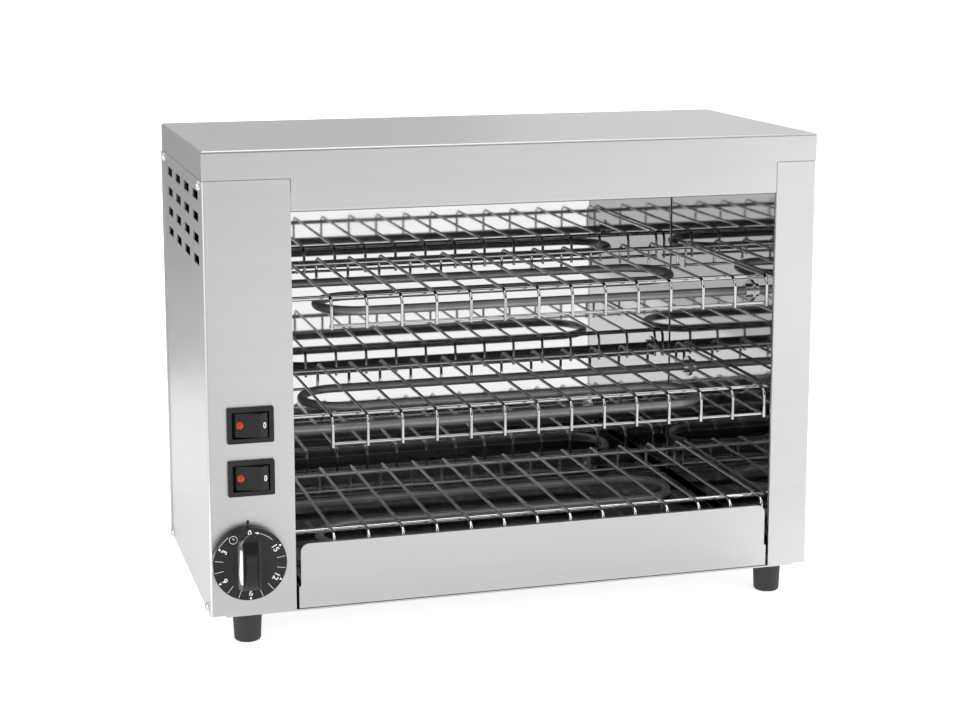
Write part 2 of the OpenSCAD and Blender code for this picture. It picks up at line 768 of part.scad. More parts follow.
// Places a shape in a rocker's own frame, tipped to its resting side
module in_rocker(z) translate([switch_x, pivot_y, z]) rotate(-rocker_tilt) children();

// Places a shape on the rocker's face: X along it from the low edge, Y into the rocker
module on_face() translate(face_low) rotate(face_turn) children();

module rocker2d() difference() {
  wide = rocker_radius + 1;
  intersection() {
    circle(rocker_radius);
    polygon([face_low, face_high, [wide, -1], [wide, rocker_radius / 6], rocker_root,
      [-rocker_root[0], rocker_root[1]], [-wide, rocker_radius / 6], [-wide, -1]]);
  }
  on_face() translate([face_run / 2, rocker_dish - dish_radius]) circle(dish_radius, $fn = 240);
}

// Block that tapers towards the rocker's face
module rocker_taper() {
  half = rocker_tall / 2;
  slim = half - rocker_draft;
  translate([-rocker_radius, 0, 0]) facing_side(2 * rocker_radius)
    polygon([[rocker_radius, half], [0, half], [-ridge_height, slim], [-rocker_radius, slim],
      [-rocker_radius, -slim], [-ridge_height, -slim], [0, -half], [rocker_radius, -half]]);
}

// Where the window sits in the face, turned so that Z points out of it
module at_window() on_face() translate([lens_place, lens_dip + lens_sunk, 0]) rotate([90, 0, 0]) children();

module rocker(z) in_rocker(z) difference() {
  union() {
    intersection() {
      linear_extrude(rocker_tall, center = true) rocker2d();
      rocker_taper();
    }
    cylinder(d = pivot_d, h = rocker_h + 1.6 * switch_wall, center = true);
  }
  at_window() cylinder(d = lens_d + 2 * lens_fit, h = 2 * lens_sunk);
}

module lens(z) in_rocker(z) at_window() {
  dome = (pow(lens_d / 2, 2) + pow(lens_proud, 2)) / (2 * lens_proud);
  cylinder(d = lens_d, h = lens_sunk);
  intersection() {
    translate([0, 0, lens_sunk + lens_proud - dome]) sphere(dome);
    translate([0, 0, lens_sunk - lens_margin / 2]) cylinder(d = lens_d, h = 2 * lens_proud);
  }
}

module switch_upper_body() color("#262626") place() switch_body(switch_heights[0]);
module switch_upper_rocker() color("#303030") place() rocker(switch_heights[0]);
module switch_upper_lens() color("firebrick") place() lens(switch_heights[0]);
module switch_lower_body() color("#262626") place() switch_body(switch_heights[1]);
module switch_lower_rocker() color("#303030") place() rocker(switch_heights[1]);
module switch_lower_lens() color("firebrick") place() lens(switch_heights[1]);

module tab() translate([-tab_size[0] / 2, 0, -tab_size[2] / 2]) cube(tab_size);

module switch_tabs() color("gainsboro") place()
  for (z = switch_heights, x = [-1, 1], dz = [-1, 1])
    translate([switch_x + x * rocker_w / 4, switch_depth, z + dz * rocker_h / 4]) tab();

// Timer behind the panel, with its shaft through a short bush
module timer_case() color("lightgray") place() translate([dial_x, sheet, dial_z]) rotate([-90, 0, 0])
  difference() {
    union() {
      cylinder(d = timer_d, h = timer_depth);
      translate([-timer_screws / 2 - screw_head_d, -timer_d / 3, 0])
        cube([timer_screws + 2 * screw_head_d, timer_d / 1.5, timer_plate]);
      translate([0, 0, -sheet]) cylinder(d = shaft_d + 2 * bush_wall, h = sheet + timer_plate);
    }
    translate([0, 0, -2 * sheet])
      cylinder(d = shaft_d + 2 * shaft_clearance, h = timer_depth - shaft_floor + 2 * sheet);
    for (s = [-1, 1]) translate([s * timer_screws / 2, 0, -sheet])
      cylinder(d = screw_d + screw_clearance / 2, h = screw_length + 2);
  }

module timer_screws_pair() color("gainsboro") place() translate([dial_x, 0, dial_z]) rotate([90, 0, 0])
  for (s = [-1, 1]) translate([s * timer_screws / 2, 0, 0])
    pan_screw(screw_d, screw_head_d, screw_head, screw_length);

module timer_tabs() color("gainsboro") place()
  for (x = [-1, 1]) translate([dial_x + x * timer_d / 4, sheet + timer_depth, dial_z]) tab();

module timer_shaft() color("gainsboro") place() translate([dial_x, -dial_gap - shaft_end + seam, dial_z])
  rotate([-90, 0, 0])
    cylinder(d = shaft_d, h = shaft_end + dial_gap + timer_depth - shaft_floor - shaft_play);

// Knob: a hollow dial with a hub for the shaft and an arched, pointed grip
module dial_shell() rotate([90, 0, 0]) rotate_extrude() {
  r = dial_d / 2;
  difference() {
    union() {
      square([r, dial_height - dial_wall / 2]);
      square([r - dial_wall / 2, dial_height]);
      translate([r - dial_wall / 2, dial_height - dial_wall / 2]) circle(dial_wall / 2);
    }
    translate([hub_d / 2, -1]) square([r - dial_wall - hub_d / 2, dial_height - dial_wall + 1]);
  }
}

module grip2d() {
  half = grip_width / 2;
  translate([-half, -grip_tail]) square([grip_width, grip_tail + grip_shoulder]);
  intersection() {
    translate([grip_point - half, grip_shoulder]) circle(grip_point);
    translate([half - grip_point, grip_shoulder]) circle(grip_point);
    translate([-half, grip_shoulder]) square([grip_width, grip_point]);
  }
}

// Section across the grip, drafted from the dial to the crest
module grip_section2d() {
  root = dial_height - dial_wall / 2;
  crest = dial_height + grip_height;
  polygon([[-grip_width / 2, -root], [-grip_width / 2, -dial_height], [-grip_crest / 2, -crest],
    [grip_crest / 2, -crest], [grip_width / 2, -dial_height], [grip_width / 2, -root]]);
}

module grip() intersection() {
  translate([0, -dial_height + dial_wall / 2, 0]) facing_front(2 * grip_height) grip2d();
  translate([0, 0, grip_middle]) linear_extrude(3 * grip_span, center = true) grip_section2d();
  translate([0, -dial_height - grip_height + grip_arch, grip_middle]) rotate([0, 90, 0])
    cylinder(r = grip_arch, h = 2 * grip_width, center = true, $fn = 120);
}

module timer_knob() color("#202020") place() translate([dial_x, -dial_gap, dial_z]) difference() {
  union() {
    dial_shell();
    grip();
  }
  translate([0, 1, 0]) rotate([90, 0, 0]) cylinder(d = shaft_d + shaft_clearance, h = 1 + shaft_end);
}

// Feet with a deep recess for their screws
module foot(i) translate([foot_centres[i][0], foot_centres[i][1], -base_z]) difference() {
  low = foot_d / 2 - foot_taper / 2;
  rotate_extrude() union() {
    polygon([[0, 0], [low - foot_round, 0], [low - foot_round, foot_round], [low, foot_round],
      [foot_d / 2, foot_height], [0, foot_height]]);
    translate([low - foot_round, foot_round]) circle(foot_round);
  }
  translate([0, 0, -1])
    cylinder(d = 2 * (foot_screw_d + screw_clearance), h = 1 + foot_height - foot_floor);
  cylinder(d = foot_screw_d + 2 * screw_clearance, h = 2 * foot_height);
}

module foot_front_left() color("#282828") place() foot(0);
module foot_front_right() color("#282828") place() foot(1);
module foot_back_left() color("#282828") place() foot(2);
module foot_back_right() color("#282828") place() foot(3);

module foot_screws() color("gainsboro") place() for (c = foot_centres)
  translate([c[0], c[1], -base_plate - foot_floor]) rotate([180, 0, 0])
    pan_screw(foot_screw_d, 2 * foot_screw_d, foot_screw_d * 0.6,
      foot_floor + base_plate + foot_nut + sheet);

module foot_nuts() color("gainsboro") place() for (c = foot_centres)
  translate([c[0], c[1], 0]) hex_nut(1.75 * foot_screw_d, foot_nut, foot_screw_d + screw_clearance);

// Supply cable's gland on the back of the control side
module cable_gland() color("#242424") place()
  translate([gland_x, casing_depth, gland_z]) rotate([-90, 0, 0]) difference() {
    union() {
      cylinder(d = gland_head_d / cos(30), h = gland_head, $fn = 6);
      rotate_extrude() {
        square([dome_r, gland_head + gland_dome - dome_round]);
        square([dome_r - dome_round, gland_head + gland_dome]);
        translate([dome_r - dome_round, gland_head + gland_dome - dome_round]) circle(dome_round);
      }
      translate([0, 0, -thread_length]) cylinder(d = gland_thread, h = thread_length);
    }
    translate([0, 0, -2 * thread_length]) cylinder(d = gland_bore, h = 4 * (thread_length + gland_dome));
  }

module gland_nut() color("#242424") place()
  translate([gland_x, casing_depth - sheet, gland_z]) rotate([90, 0, 0])
    hex_nut(gland_head_d - 1, gland_head - sheet, gland_thread + screw_clearance);

// Terminal block on the base plate, with three metal inserts, and the earth stud beside it
module at_block() translate([left_pillar / 2, block_y, 0]) children();

module at_inserts() for (i = [-1 : 1])
  translate([i * insert_step, 0, block_height / 2]) rotate([90, 0, 0]) children();

module terminal_block() color("ivory") place() at_block() difference() {
  translate([-block_length / 2, -block_width / 2, 0]) cube([block_length, block_width, block_height]);
  at_inserts() cylinder(d = insert_d + screw_clearance, h = 2 * block_width, center = true);
}

module terminal_inserts() color("goldenrod") place() at_block() at_inserts()
  cylinder(d = insert_d, h = block_width - 2 * insert_short, center = true);

module earth_stud() color("goldenrod") place() translate([left_pillar / 2, stud_y, 0]) {
  cylinder(d = stud_d, h = stud_height);
  cylinder(d = stud_nut_across / cos(30), h = stud_nut, $fn = 6);
}

// Inner wiring: straight leads between the terminals, clear of the moving parts
module left_leads() color("white") place() {
  x = oven_left - pin_reach + pin_length / 2;
  y = heater_back;
  high = heater_heights[0] - pin_d / 2 - lead_gap;
  low = heater_heights[2] + pin_d / 2 + lead_gap;
  bar_run([x, y, low], [x, y, high], lead_d);
  upper = switch_heights[0] - rocker_h / 4;
  lower = switch_heights[1] + rocker_h / 4;
  tab_x = switch_x - rocker_w / 4;
  tab_y = switch_depth + tab_size[1] + lead_gap;
  loop_y = tab_y + 2 * lead_bend;
  bar([[tab_x, tab_y, upper], [tab_x, loop_y, upper], [tab_x, loop_y, lower], [tab_x, tab_y, lower]],
    lead_d, lead_bend);
}

module right_leads() color("white") place() {
  x = oven_right + pin_reach - pin_length / 2;
  y = heater_front;
  high = heater_heights[0] - pin_d / 2 - lead_gap;
  low = heater_heights[2] + pin_d / 2 + lead_gap;
  bar_run([x, y, low], [x, y, high], lead_d);
  mid = heater_heights[1];
  bar_run([x, y + lead_d / 2, mid], [x, heater_back - pin_d / 2 - lead_gap, mid], lead_d);
}

top_cover();
left_panel();
right_panel();
back_panel();
base_pan();
left_liner();
right_liner();
ceiling();
side_screws_left();
side_screws_right();
back_screws();
rack_top_wires();
rack_top_frame();
rack_middle_wires();
rack_middle_frame();
rack_bottom_wires();
rack_bottom_frame();
heater_top();
heater_middle();
heater_bottom();
heater_fittings();
heater_nuts();
heater_insulators();
heater_pins();
tray_pan();
tray_front();
switch_upper_body();
switch_upper_rocker();
switch_upper_lens();
switch_lower_body();
switch_lower_rocker();
switch_lower_lens();
switch_tabs();
timer_case();
timer_screws_pair();
timer_tabs();
timer_shaft();
timer_knob();
foot_front_left();
foot_front_right();
foot_back_left();
foot_back_right();
foot_screws();
foot_nuts();
cable_gland();
gland_nut();
terminal_block();
terminal_inserts();
earth_stud();
left_leads();
right_leads();
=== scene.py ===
"""Finishes an open toaster grill: satin casing, mirror oven, bright racks and black controls."""
import json
import math

import bmesh
import bpy
from bpy.props import FloatProperty, FloatVectorProperty, IntProperty, PointerProperty
from mathutils import Matrix, Vector


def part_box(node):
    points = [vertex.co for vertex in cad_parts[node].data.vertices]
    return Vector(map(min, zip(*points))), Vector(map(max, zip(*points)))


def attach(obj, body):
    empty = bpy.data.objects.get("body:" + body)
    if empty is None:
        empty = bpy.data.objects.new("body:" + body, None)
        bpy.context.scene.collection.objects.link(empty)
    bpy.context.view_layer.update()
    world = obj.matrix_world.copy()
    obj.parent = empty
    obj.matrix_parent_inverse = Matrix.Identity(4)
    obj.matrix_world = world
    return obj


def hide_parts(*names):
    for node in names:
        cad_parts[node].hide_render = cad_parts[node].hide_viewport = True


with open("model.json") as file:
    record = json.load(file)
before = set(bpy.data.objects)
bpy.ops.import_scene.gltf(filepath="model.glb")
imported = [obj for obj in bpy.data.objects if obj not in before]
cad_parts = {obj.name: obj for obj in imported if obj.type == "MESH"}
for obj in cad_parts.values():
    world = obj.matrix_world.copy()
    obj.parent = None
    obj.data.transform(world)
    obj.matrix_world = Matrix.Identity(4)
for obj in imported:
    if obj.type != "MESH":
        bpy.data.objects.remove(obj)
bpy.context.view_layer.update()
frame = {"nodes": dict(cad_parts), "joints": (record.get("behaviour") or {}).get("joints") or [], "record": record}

bl_info = {
    "name": "Open toaster grill",
    "version": (1, 0, 0),
    "blender": (4, 5, 0),
    "location": "3D View > Sidebar > Grill",
    "description": "Finishes and stages an open toaster grill round its packed solids",
    "category": "Object",
}

MM = 0.001
LEVELS = ("top", "middle", "bottom")
SWITCHES = ("upper", "lower")
BLACK = (0.0, 0.0, 0.0, 1.0)
WHITE = (1.0, 1.0, 1.0, 1.0)
BODY_OF = {
    node: body for body, nodes in frame["record"]["behaviour"]["bodies"].items() for node in nodes
}
PIVOT_OF = {
    joint["child"]: Vector(joint["pos_m"]) for joint in frame["joints"] if "pos_m" in joint
}
# Front left lower corner of the casing, from which the photograph's view is measured
CORNER = Vector((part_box("top_cover")[0].x, *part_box("left_panel")[0].yz))
# Middle of the timer's dial
HUB = PIVOT_OF["timer_knob"]

# Fineness of the brushing: across, along and up. A low number runs with the streaks
COVER_GRAIN = (5.0, 900.0, 900.0)
PANEL_GRAIN = (5.0, 5.0, 900.0)
# Edges turn sharp above the first angle, and faces are one plane below the second
SHARP = math.radians(30)
FLAT = math.radians(0.4)
# Points closer than this are one
WELD_GAP = 0.002 * MM
# Distances past a plane at which a mask starts and at which it is full
MASK_START = 0.3 * MM
MASK_FULL = 0.5 * MM
# Depth of the back panel's outer skin, which is left satin
SKIN = 0.6 * MM
# Share of the back panel's thickness that the sealant fills
BEAD_FILL = 0.8
# Height of a weld nugget as a share of its width
NUGGET_HEIGHT = 0.7
# Most of the grip's height that its hollow takes, and the points along the hollow's lines
HOLLOW_MOST = 0.9
HOLLOW_STEPS = 6
FLANK_STEPS = 12
POINT_STEPS = 6
# The dial's print, in degrees to the left from the top
NUMBERS = {60: "3", 120: "6", 180: "9", 240: "12", 300: "15"}
TICKS = (80, 100, 140, 160, 200, 220, 260, 280)
ARROW_LINE = (316, 345)
ARROW_HEAD = (344.5, 351.5)
CLOCK_LINE = (36, 58)
CLOCK_TURN = 32
# Width of the arrow's head in pointers' widths, and the clock's hands in radii, across and up
ARROW_WIDTH = 0.9
CLOCK_HANDS = ((-0.186, 0.62), (0.434, 0.279))
FLOOR_WIDTH = 40.0


def size(name, description, default):
    """A length that a user may change, in metres."""
    return FloatProperty(name=name, description=description, default=default, min=0.0, unit="LENGTH")


def colour(name, description, default):
    """A colour that a user may change."""
    return FloatVectorProperty(
        name=name, description=description, default=default, min=0.0, max=1.0, size=3, subtype="COLOR"
    )


def share(name, description, default, most=1.0):
    """A plain number from nought up."""
    return FloatProperty(name=name, description=description, default=default, min=0.0, max=most)


def turn(name, description, default):
    """An angle, given in degrees and kept in radians."""
    return FloatProperty(
        name=name, description=description, default=math.radians(default), subtype="ANGLE"
    )


def spot(name, description, default):
    """A place measured in metres."""
    return FloatVectorProperty(
        name=name, description=description, default=default, size=3, subtype="TRANSLATION"
    )


class GrillFinishes(bpy.types.PropertyGroup):
    """Colours and gloss of the grill's materials."""

    satin: colour("Satin steel", "Colour of the brushed sheets", (0.51, 0.51, 0.515))
    satin_roughness: share("Satin roughness", "Roughness of the brushed sheets", 0.37)
    mirror: colour("Mirror steel", "Colour of the polished oven walls", (0.62, 0.623, 0.626))
    mirror_roughness: share("Mirror roughness", "Roughness of the polished oven walls", 0.025)
    # The ceiling's dark colour is painted shade: it stands in for the shade at the oven's top, which the racks and
    # heaters reflect
    ceiling: colour("Oven ceiling", "Colour of the heat-darkened oven ceiling", (0.14, 0.137, 0.134))
    # The tray pan is the oven walls' steel, made darker as painted shade
    pan: colour("Tray pan", "Colour of the heat-dulled tray pan", (0.52, 0.518, 0.515))
    # The upper racks' wires and the lowest rack's are one wire in two tones: the upper darker as painted shade,
    # the lowest paler as painted light
    wire: colour("Rack wire", "Colour of the upper racks' wires, dulled by heat", (0.5, 0.5, 0.503))
    wire_painted_lit: colour("Low wire", "Colour of the lowest rack's brighter wires", (0.85, 0.85, 0.853))
    sheath: colour("Heater sheath", "Colour of the oxidised heater tubes", (0.19, 0.188, 0.186))
    # The lowest heater's tube is the oxidised sheath made paler, as painted light
    sheath_painted_lit: colour("Low sheath", "Colour of the lowest heater's paler tube", (0.32, 0.317, 0.314))
    plastic: colour("Black plastic", "Colour of the switches and the knob", (0.012, 0.012, 0.0125))
    rubber: colour("Rubber", "Colour of the feet", (0.016, 0.016, 0.0165))
    lens: colour("Lens", "Colour of the switches' round windows", (0.4, 0.036, 0.006))
    print_white: colour("White print", "Colour of the marks on the controls", (0.8, 0.8, 0.78))
    plated: colour("Plated steel", "Colour of the screws and terminals", (0.6, 0.6, 0.595))
    brass: colour("Brass", "Colour of the terminal inserts", (0.72, 0.53, 0.24))
    ceramic: colour("Ceramic", "Colour of the insulators", (0.8, 0.76, 0.66))
    sleeve: colour("Lead sleeve", "Colour of the inner wiring", (0.06, 0.058, 0.056))
    zinc: colour("Timer case", "Colour of the timer's case", (0.5, 0.5, 0.5))


class GrillEdges(bpy.types.PropertyGroup):
    """How far the edges of the pieces are eased, and the gap at the back panel's."""

    sheet: size("Sheet edge", "Easing of cut sheet edges", 0.2 * MM)
    moulding: size("Moulded edge", "Easing of moulded plastic edges", 0.6 * MM)
    metal: size("Turned edge", "Easing of screws and fittings", 0.15 * MM)
    seam: size("Back seam", "Gap beside the back panel, which the sealant fills", 0.3 * MM)


class GrillRack(bpy.types.PropertyGroup):
    """The racks' welds."""

    wires: IntProperty(name="Wires", description="Wires in a rack", default=14, min=2)
    wire_d: size("Wire", "Diameter of a rack wire", 2.2 * MM)
    rod_front: size("Front rod", "Setback of the front rod from the front legs", 18 * MM)
    rod_rear: size("Rear rod", "Setback of the rear rod from the rear legs", 15 * MM)
    nugget: size("Weld", "Radius of a weld nugget", 1.35 * MM)


class GrillDial(bpy.types.PropertyGroup):
    """Marks printed on the timer's dial and above it."""

    face: size("Face", "Distance of the dial's face from the panel", 7.8 * MM)
    film: size("Ink", "Thickness of the print", 0.06 * MM)
    number_r: size("Numbers", "Distance of the numbers from the dial's centre", 20.3 * MM)
    number_size: size("Number size", "Type size of the numbers", 5.6 * MM)
    zero_r: size("Zero", "Distance of the nought from the dial's centre", 22.4 * MM)
    zero_size: size("Zero size", "Type size of the nought", 5.0 * MM)
    rim_r: size("Pointers", "Distance of the pointers' tips from the dial's centre", 25.2 * MM)
    weight: size("Weight", "How much bolder the figures are drawn", 0.1 * MM)
    pointer: size("Pointer", "Width of a pointer", 1.8 * MM)
    tick_r: size("Ticks", "Distance of the ticks' inner ends from the dial's centre", 18.6 * MM)
    tick_length: size("Tick length", "Length of a tick", 5.9 * MM)
    stroke: size("Stroke", "Width of the thin lines", 0.25 * MM)
    arrow_r: size("Arrow", "Radius of the curved arrow", 22.4 * MM)
    clock_r: size("Clock", "Distance of the clock sign from the dial's centre", 21.4 * MM)
    clock_size: size("Clock size", "Radius of the clock sign", 2.7 * MM)
    index_rise: size("Index", "Height of the index mark over the dial's centre", 27.6 * MM)
    index_width: size("Index width", "Width of the index mark", 2.1 * MM)
    index_height: size("Index height", "Height of the index mark", 3.2 * MM)


class GrillGrip(bpy.types.PropertyGroup):
    """The hollow that leads from the dial's face up the grip's flanks."""

    width: size("Width", "Width of the grip at the dial's face", 12.2 * MM)
    crest: size("Crest", "Width of the grip's crest", 7.2 * MM)
    height: size("Height", "Height of the grip over the dial's face", 8 * MM)
    end: size("End", "Height of the grip at its ends", 0.8 * MM)
    tail: size("Tail", "Reach of the grip below the dial's centre", 18.4 * MM)
    shoulder: size("Shoulder", "Where the grip starts to narrow, over the dial's centre", 12 * MM)
    point_r: size("Point", "Radius of the two arcs that make the grip's point", 9 * MM)
    hollow: size("Hollow", "Width of the hollow along the flanks", 2.2 * MM)
    sweep: share("Sweep", "How hollow it is, from nought, flat, to one, a quarter circle", 0.35)


class GrillRocker(bpy.types.PropertyGroup):
    """The mark on each rocker's raised shoulder, measured from the rocker's pivot."""

    tilt: turn("Tilt", "Tilt of a rocker at rest", -13)
    shoulder: turn("Shoulder", "Slope of the shoulder that carries the mark", 42.3)
    mark_reach: size("Reach", "Distance of the mark to the side of the pivot", 10.4 * MM)
    mark_rise: size("Rise", "Distance of the mark in front of the pivot", 3.73 * MM)
    mark_width: size("Width", "Width of the mark", 2.5 * MM)
    mark_height: size("Height", "Height of the mark", 4.2 * MM)
    mark_stroke: size("Stroke", "Line width of the mark", 0.7 * MM)


class GrillStage(bpy.types.PropertyGroup):
    """Floor, light and camera."""

    eye: spot("Camera", "Camera's place from the casing's corner", (-0.1864, -1.3117, 0.463))
    heading: turn("Heading", "How far the camera looks to the right of the back", 16.06)
    pitch: turn("Pitch", "How far the camera looks down", 9.45)
    lens_mm: FloatProperty(name="Lens", description="Focal length in millimetres", default=75.19, min=1.0)
    shift: FloatProperty(name="Shift", description="Vertical shift of the picture", default=-0.1)
    floor: colour("Floor", "Colour of the floor", (0.95, 0.95, 0.95))
    lit: share("Floor light", "Light that the floor gives by itself", 0.55, 10.0)
    room: share("Room light", "Brightness of the white room", 1.06, 10.0)
    overhead: share("Overhead", "Brightness of the softbox overhead", 1.9, 100.0)
    fill: share("Fill", "Brightness of the softbox at the front right", 1.4, 100.0)
    floor_front: share("Front floor", "Brightness of the floor in front in reflections", 1.4, 10.0)
    floor_left: share("Left floor", "Brightness of the floor at the front left in reflections", 0.95, 10.0)
    floor_near: share("Near floor", "Brightness of the floor at the front's foot in reflections", 1.1, 10.0)
    floor_side: share("Side floor", "Brightness of the floor beside the left side in reflections", 1.2, 10.0)
    left_low: share("Low light", "Brightness of the low lamp at the left in reflections", 8.0, 100.0)
    floor_rear: share("Rear floor", "Brightness of the floor behind in reflections", 1.4, 10.0)
    front_high: share("High card", "Brightness of the dark card high in front", 0.06, 10.0)
    front_right: share("Right card", "Brightness of the white card at the front right", 2.6, 10.0)
    left: share("Left card", "Brightness of the white card at the left", 2.2, 10.0)
    rear_low: share("Rear strip", "Brightness of the grey strip on the floor behind", 0.5, 10.0)
    rear_left: share("Rear card", "Brightness of the grey card behind", 0.35, 10.0)
    rear_high: share("High rear card", "Brightness of the grey card high behind", 0.66, 10.0)
    rear_right: share("Right rear card", "Brightness of the pale card high behind", 0.95, 10.0)


class Signal:
    """A value in a material's nodes that can stand in Python sums."""

    def __init__(self, finish, socket):
        self.finish = finish
        self.socket = socket

    def maths(self, operation, first, second):
        """The result of a Math node."""
        return self.finish.node("ShaderNodeMath", {"operation": operation}, {0: first, 1: second})

    def __add__(self, other):
        return self.maths("ADD", self, other)

    def __radd__(self, other):
        return self.maths("ADD", other, self)

    def __sub__(self, other):
        return self.maths("SUBTRACT", self, other)

    def __rsub__(self, other):
        return self.maths("SUBTRACT", other, self)

    def __mul__(self, other):
        return self.maths("MULTIPLY", self, other)

    def __rmul__(self, other):
        return self.maths("MULTIPLY", other, self)


class Finish:
    """A material under way: its shader, and the nodes that feed it."""

    def __init__(self, name):
        self.material = bpy.data.materials.new(name)
        self.material.use_nodes = True
        self.tree = self.material.node_tree
        self.shader = self.tree.nodes["Principled BSDF"]
        self.place = self.node("ShaderNodeTexCoord", out="Object")

    def feed(self, socket, value):
        """Link a signal to a socket, or set its value."""
        if isinstance(value, Signal):
            self.tree.links.new(value.socket, socket)
        else:
            socket.default_value = value

    def node(self, kind, settings=(), sockets=(), out=0):
        """Add a node: its settings first, then its sockets' values or links. Gives one output."""
        made = self.tree.nodes.new(kind)
        for name, value in dict(settings).items():
            setattr(made, name, value)
        for key, value in dict(sockets).items():
            self.feed(made.inputs[key], value)
        return Signal(self, made.outputs[out])

    def stretched(self, x, y, z):
        """The piece's own coordinates, scaled along each axis."""
        return self.node("ShaderNodeVectorMath", {"operation": "MULTIPLY"}, {0: self.place, 1: (x, y, z)})

    def distance(self, centre):
        """Distance from a point of the piece."""
        return self.node(
            "ShaderNodeVectorMath", {"operation": "DISTANCE"}, {0: self.place, 1: centre}, "Value"
        )

    def past(self, axis, plane, side):
        """One past a plane across an axis, on the plane's high side, 1, or its low side, -1."""
        along = self.node("ShaderNodeSeparateXYZ", sockets={0: self.place}, out=axis)
        return self.step(side * (along - plane), MASK_START, MASK_FULL)

    def noise(self, coords, scale, detail=2.0, roughness=0.5):
        """Soft noise around one half."""
        sockets = {"Vector": coords, "Scale": scale, "Detail": detail, "Roughness": roughness}
        return self.node("ShaderNodeTexNoise", sockets=sockets, out="Fac")

    def step(self, value, low, high):
        """Nought below low, one above high, and smooth in between."""
        sockets = {"Value": value, "From Min": low, "From Max": high}
        return self.node("ShaderNodeMapRange", {"interpolation_type": "SMOOTHSTEP"}, sockets)

    def blend(self, amount, first, second):
        """A colour between two others."""
        sockets = {0: amount, 6: first, 7: second}
        return self.node("ShaderNodeMix", {"data_type": "RGBA"}, sockets, 2)

    def relief(self, height, depth):
        """Surface relief of a given depth in metres."""
        return self.node("ShaderNodeBump", sockets={"Height": height, "Distance": depth}, out="Normal")

    def done(self, **values):
        """Set the shader's sockets, named with underscores for spaces, and give the material."""
        for name, value in values.items():
            self.feed(self.shader.inputs[name.replace("_", " ").title().replace("Ior", "IOR")], value)
        return self.material


def tone(base, factor):
    """A colour made lighter or darker, as a socket takes it."""
    return tuple(min(1.0, channel * factor) for channel in base) + (1.0,)


def satin_steel(looks, name, grain):
    """Brushed stainless sheet. Grain gives the streaks' fineness along each axis."""
    f = Finish(name)
    fine = f.noise(f.stretched(*grain), 1.0, 3.0, 0.6)
    broad = f.noise(f.stretched(*(0.11 * g for g in grain)), 1.0, 2.0)
    wiped = f.noise(f.place, 7.0, 3.0)
    streak = f.step(0.6 * fine + 0.4 * broad, 0.32, 0.68)
    return f.done(
        base_color=f.blend(streak, tone(looks.satin, 0.975), tone(looks.satin, 1.02)),
        metallic=1.0,
        roughness=looks.satin_roughness + 0.1 * (fine - 0.5) + 0.06 * (wiped - 0.5),
        normal=f.relief(fine, 0.008 * MM),
    )


def mirror_steel(name, base, roughness, painted_shade=None, outer=None):
    """Polished sheet with faint smears, lines and a wave, rough and painted nearly black as painted shade where
    the first mask marks, and satin on its outer face.
    """
    f = Finish(name)
    smear = f.step(f.noise(f.stretched(9.0, 9.0, 16.0), 1.0, 5.0, 0.6), 0.48, 0.72)
    lines = f.noise(f.stretched(14.0, 14.0, 900.0), 1.0, 2.0)
    wave = f.noise(f.place, 9.0, 1.0)
    # Mask of painted shade, which also makes the sheet rough
    dull = painted_shade(f) if painted_shade else 0.0
    satin = outer(f) if outer else 0.0
    return f.done(
        # Where the shade mask marks, the colour falls to nearly black: painted shade
        base_color=f.blend(dull, f.blend(smear, tone(base, 1.0), tone(base, 0.95)), tone(base, 0.08)),
        metallic=1.0,
        roughness=roughness + 0.012 * smear + 0.02 * lines + 0.5 * dull + 0.35 * satin,
        normal=f.relief(wave, 0.04 * MM),
    )


def bright_wire(name, base):
    """Drawn and electropolished wire."""
    f = Finish(name)
    drawn = f.noise(f.place, 420.0, 3.0)
    dull = f.step(f.noise(f.place, 38.0, 2.0), 0.45, 0.75)
    return f.done(
        base_color=f.blend(dull, tone(base, 1.05), tone(base, 0.82)),
        metallic=1.0,
        roughness=0.04 + 0.03 * drawn + 0.04 * dull,
        normal=f.relief(drawn, 0.0006 * MM),
    )


def heater_sheath(name, base):
    """Heater tube, evenly greyed by heat."""
    f = Finish(name)
    mottle = f.noise(f.place, 55.0, 6.0, 0.65)
    scale = f.noise(f.place, 1500.0, 2.0)
    patch = f.step(mottle, 0.4, 0.68)
    return f.done(
        base_color=f.blend(patch, tone(base, 1.05), tone(base, 1.3)),
        metallic=0.6,
        roughness=0.36 + 0.06 * mottle,
        normal=f.relief(scale, 0.006 * MM),
    )


def black_plastic(looks, name, roughness, polish=None):
    """Moulded black plastic with a fine spark grain, and a gloss where polish marks it."""
    f = Finish(name)
    grain = f.noise(f.place, 2400.0, 1.0)
    handled = f.noise(f.place, 60.0, 3.0)
    return f.done(
        base_color=f.blend(handled, tone(looks.plastic, 0.85), tone(looks.plastic, 1.2)),
        specular_ior_level=0.25,
        coat_weight=polish(f) if polish else 0.0,
        coat_ior=2.0,
        coat_roughness=0.05,
        roughness=roughness + 0.12 * (handled - 0.5),
        normal=f.relief(grain, 0.012 * MM),
    )


def black_rubber(looks):
    """Matt rubber with a little bloom."""
    f = Finish("black_rubber")
    grain = f.noise(f.place, 1500.0, 2.0)
    bloom = f.step(f.noise(f.place, 90.0, 4.0), 0.5, 0.75)
    return f.done(
        base_color=f.blend(bloom, tone(looks.rubber, 1.0), tone(looks.rubber, 1.7)),
        roughness=0.62 + 0.14 * bloom,
        normal=f.relief(grain, 0.03 * MM),
    )


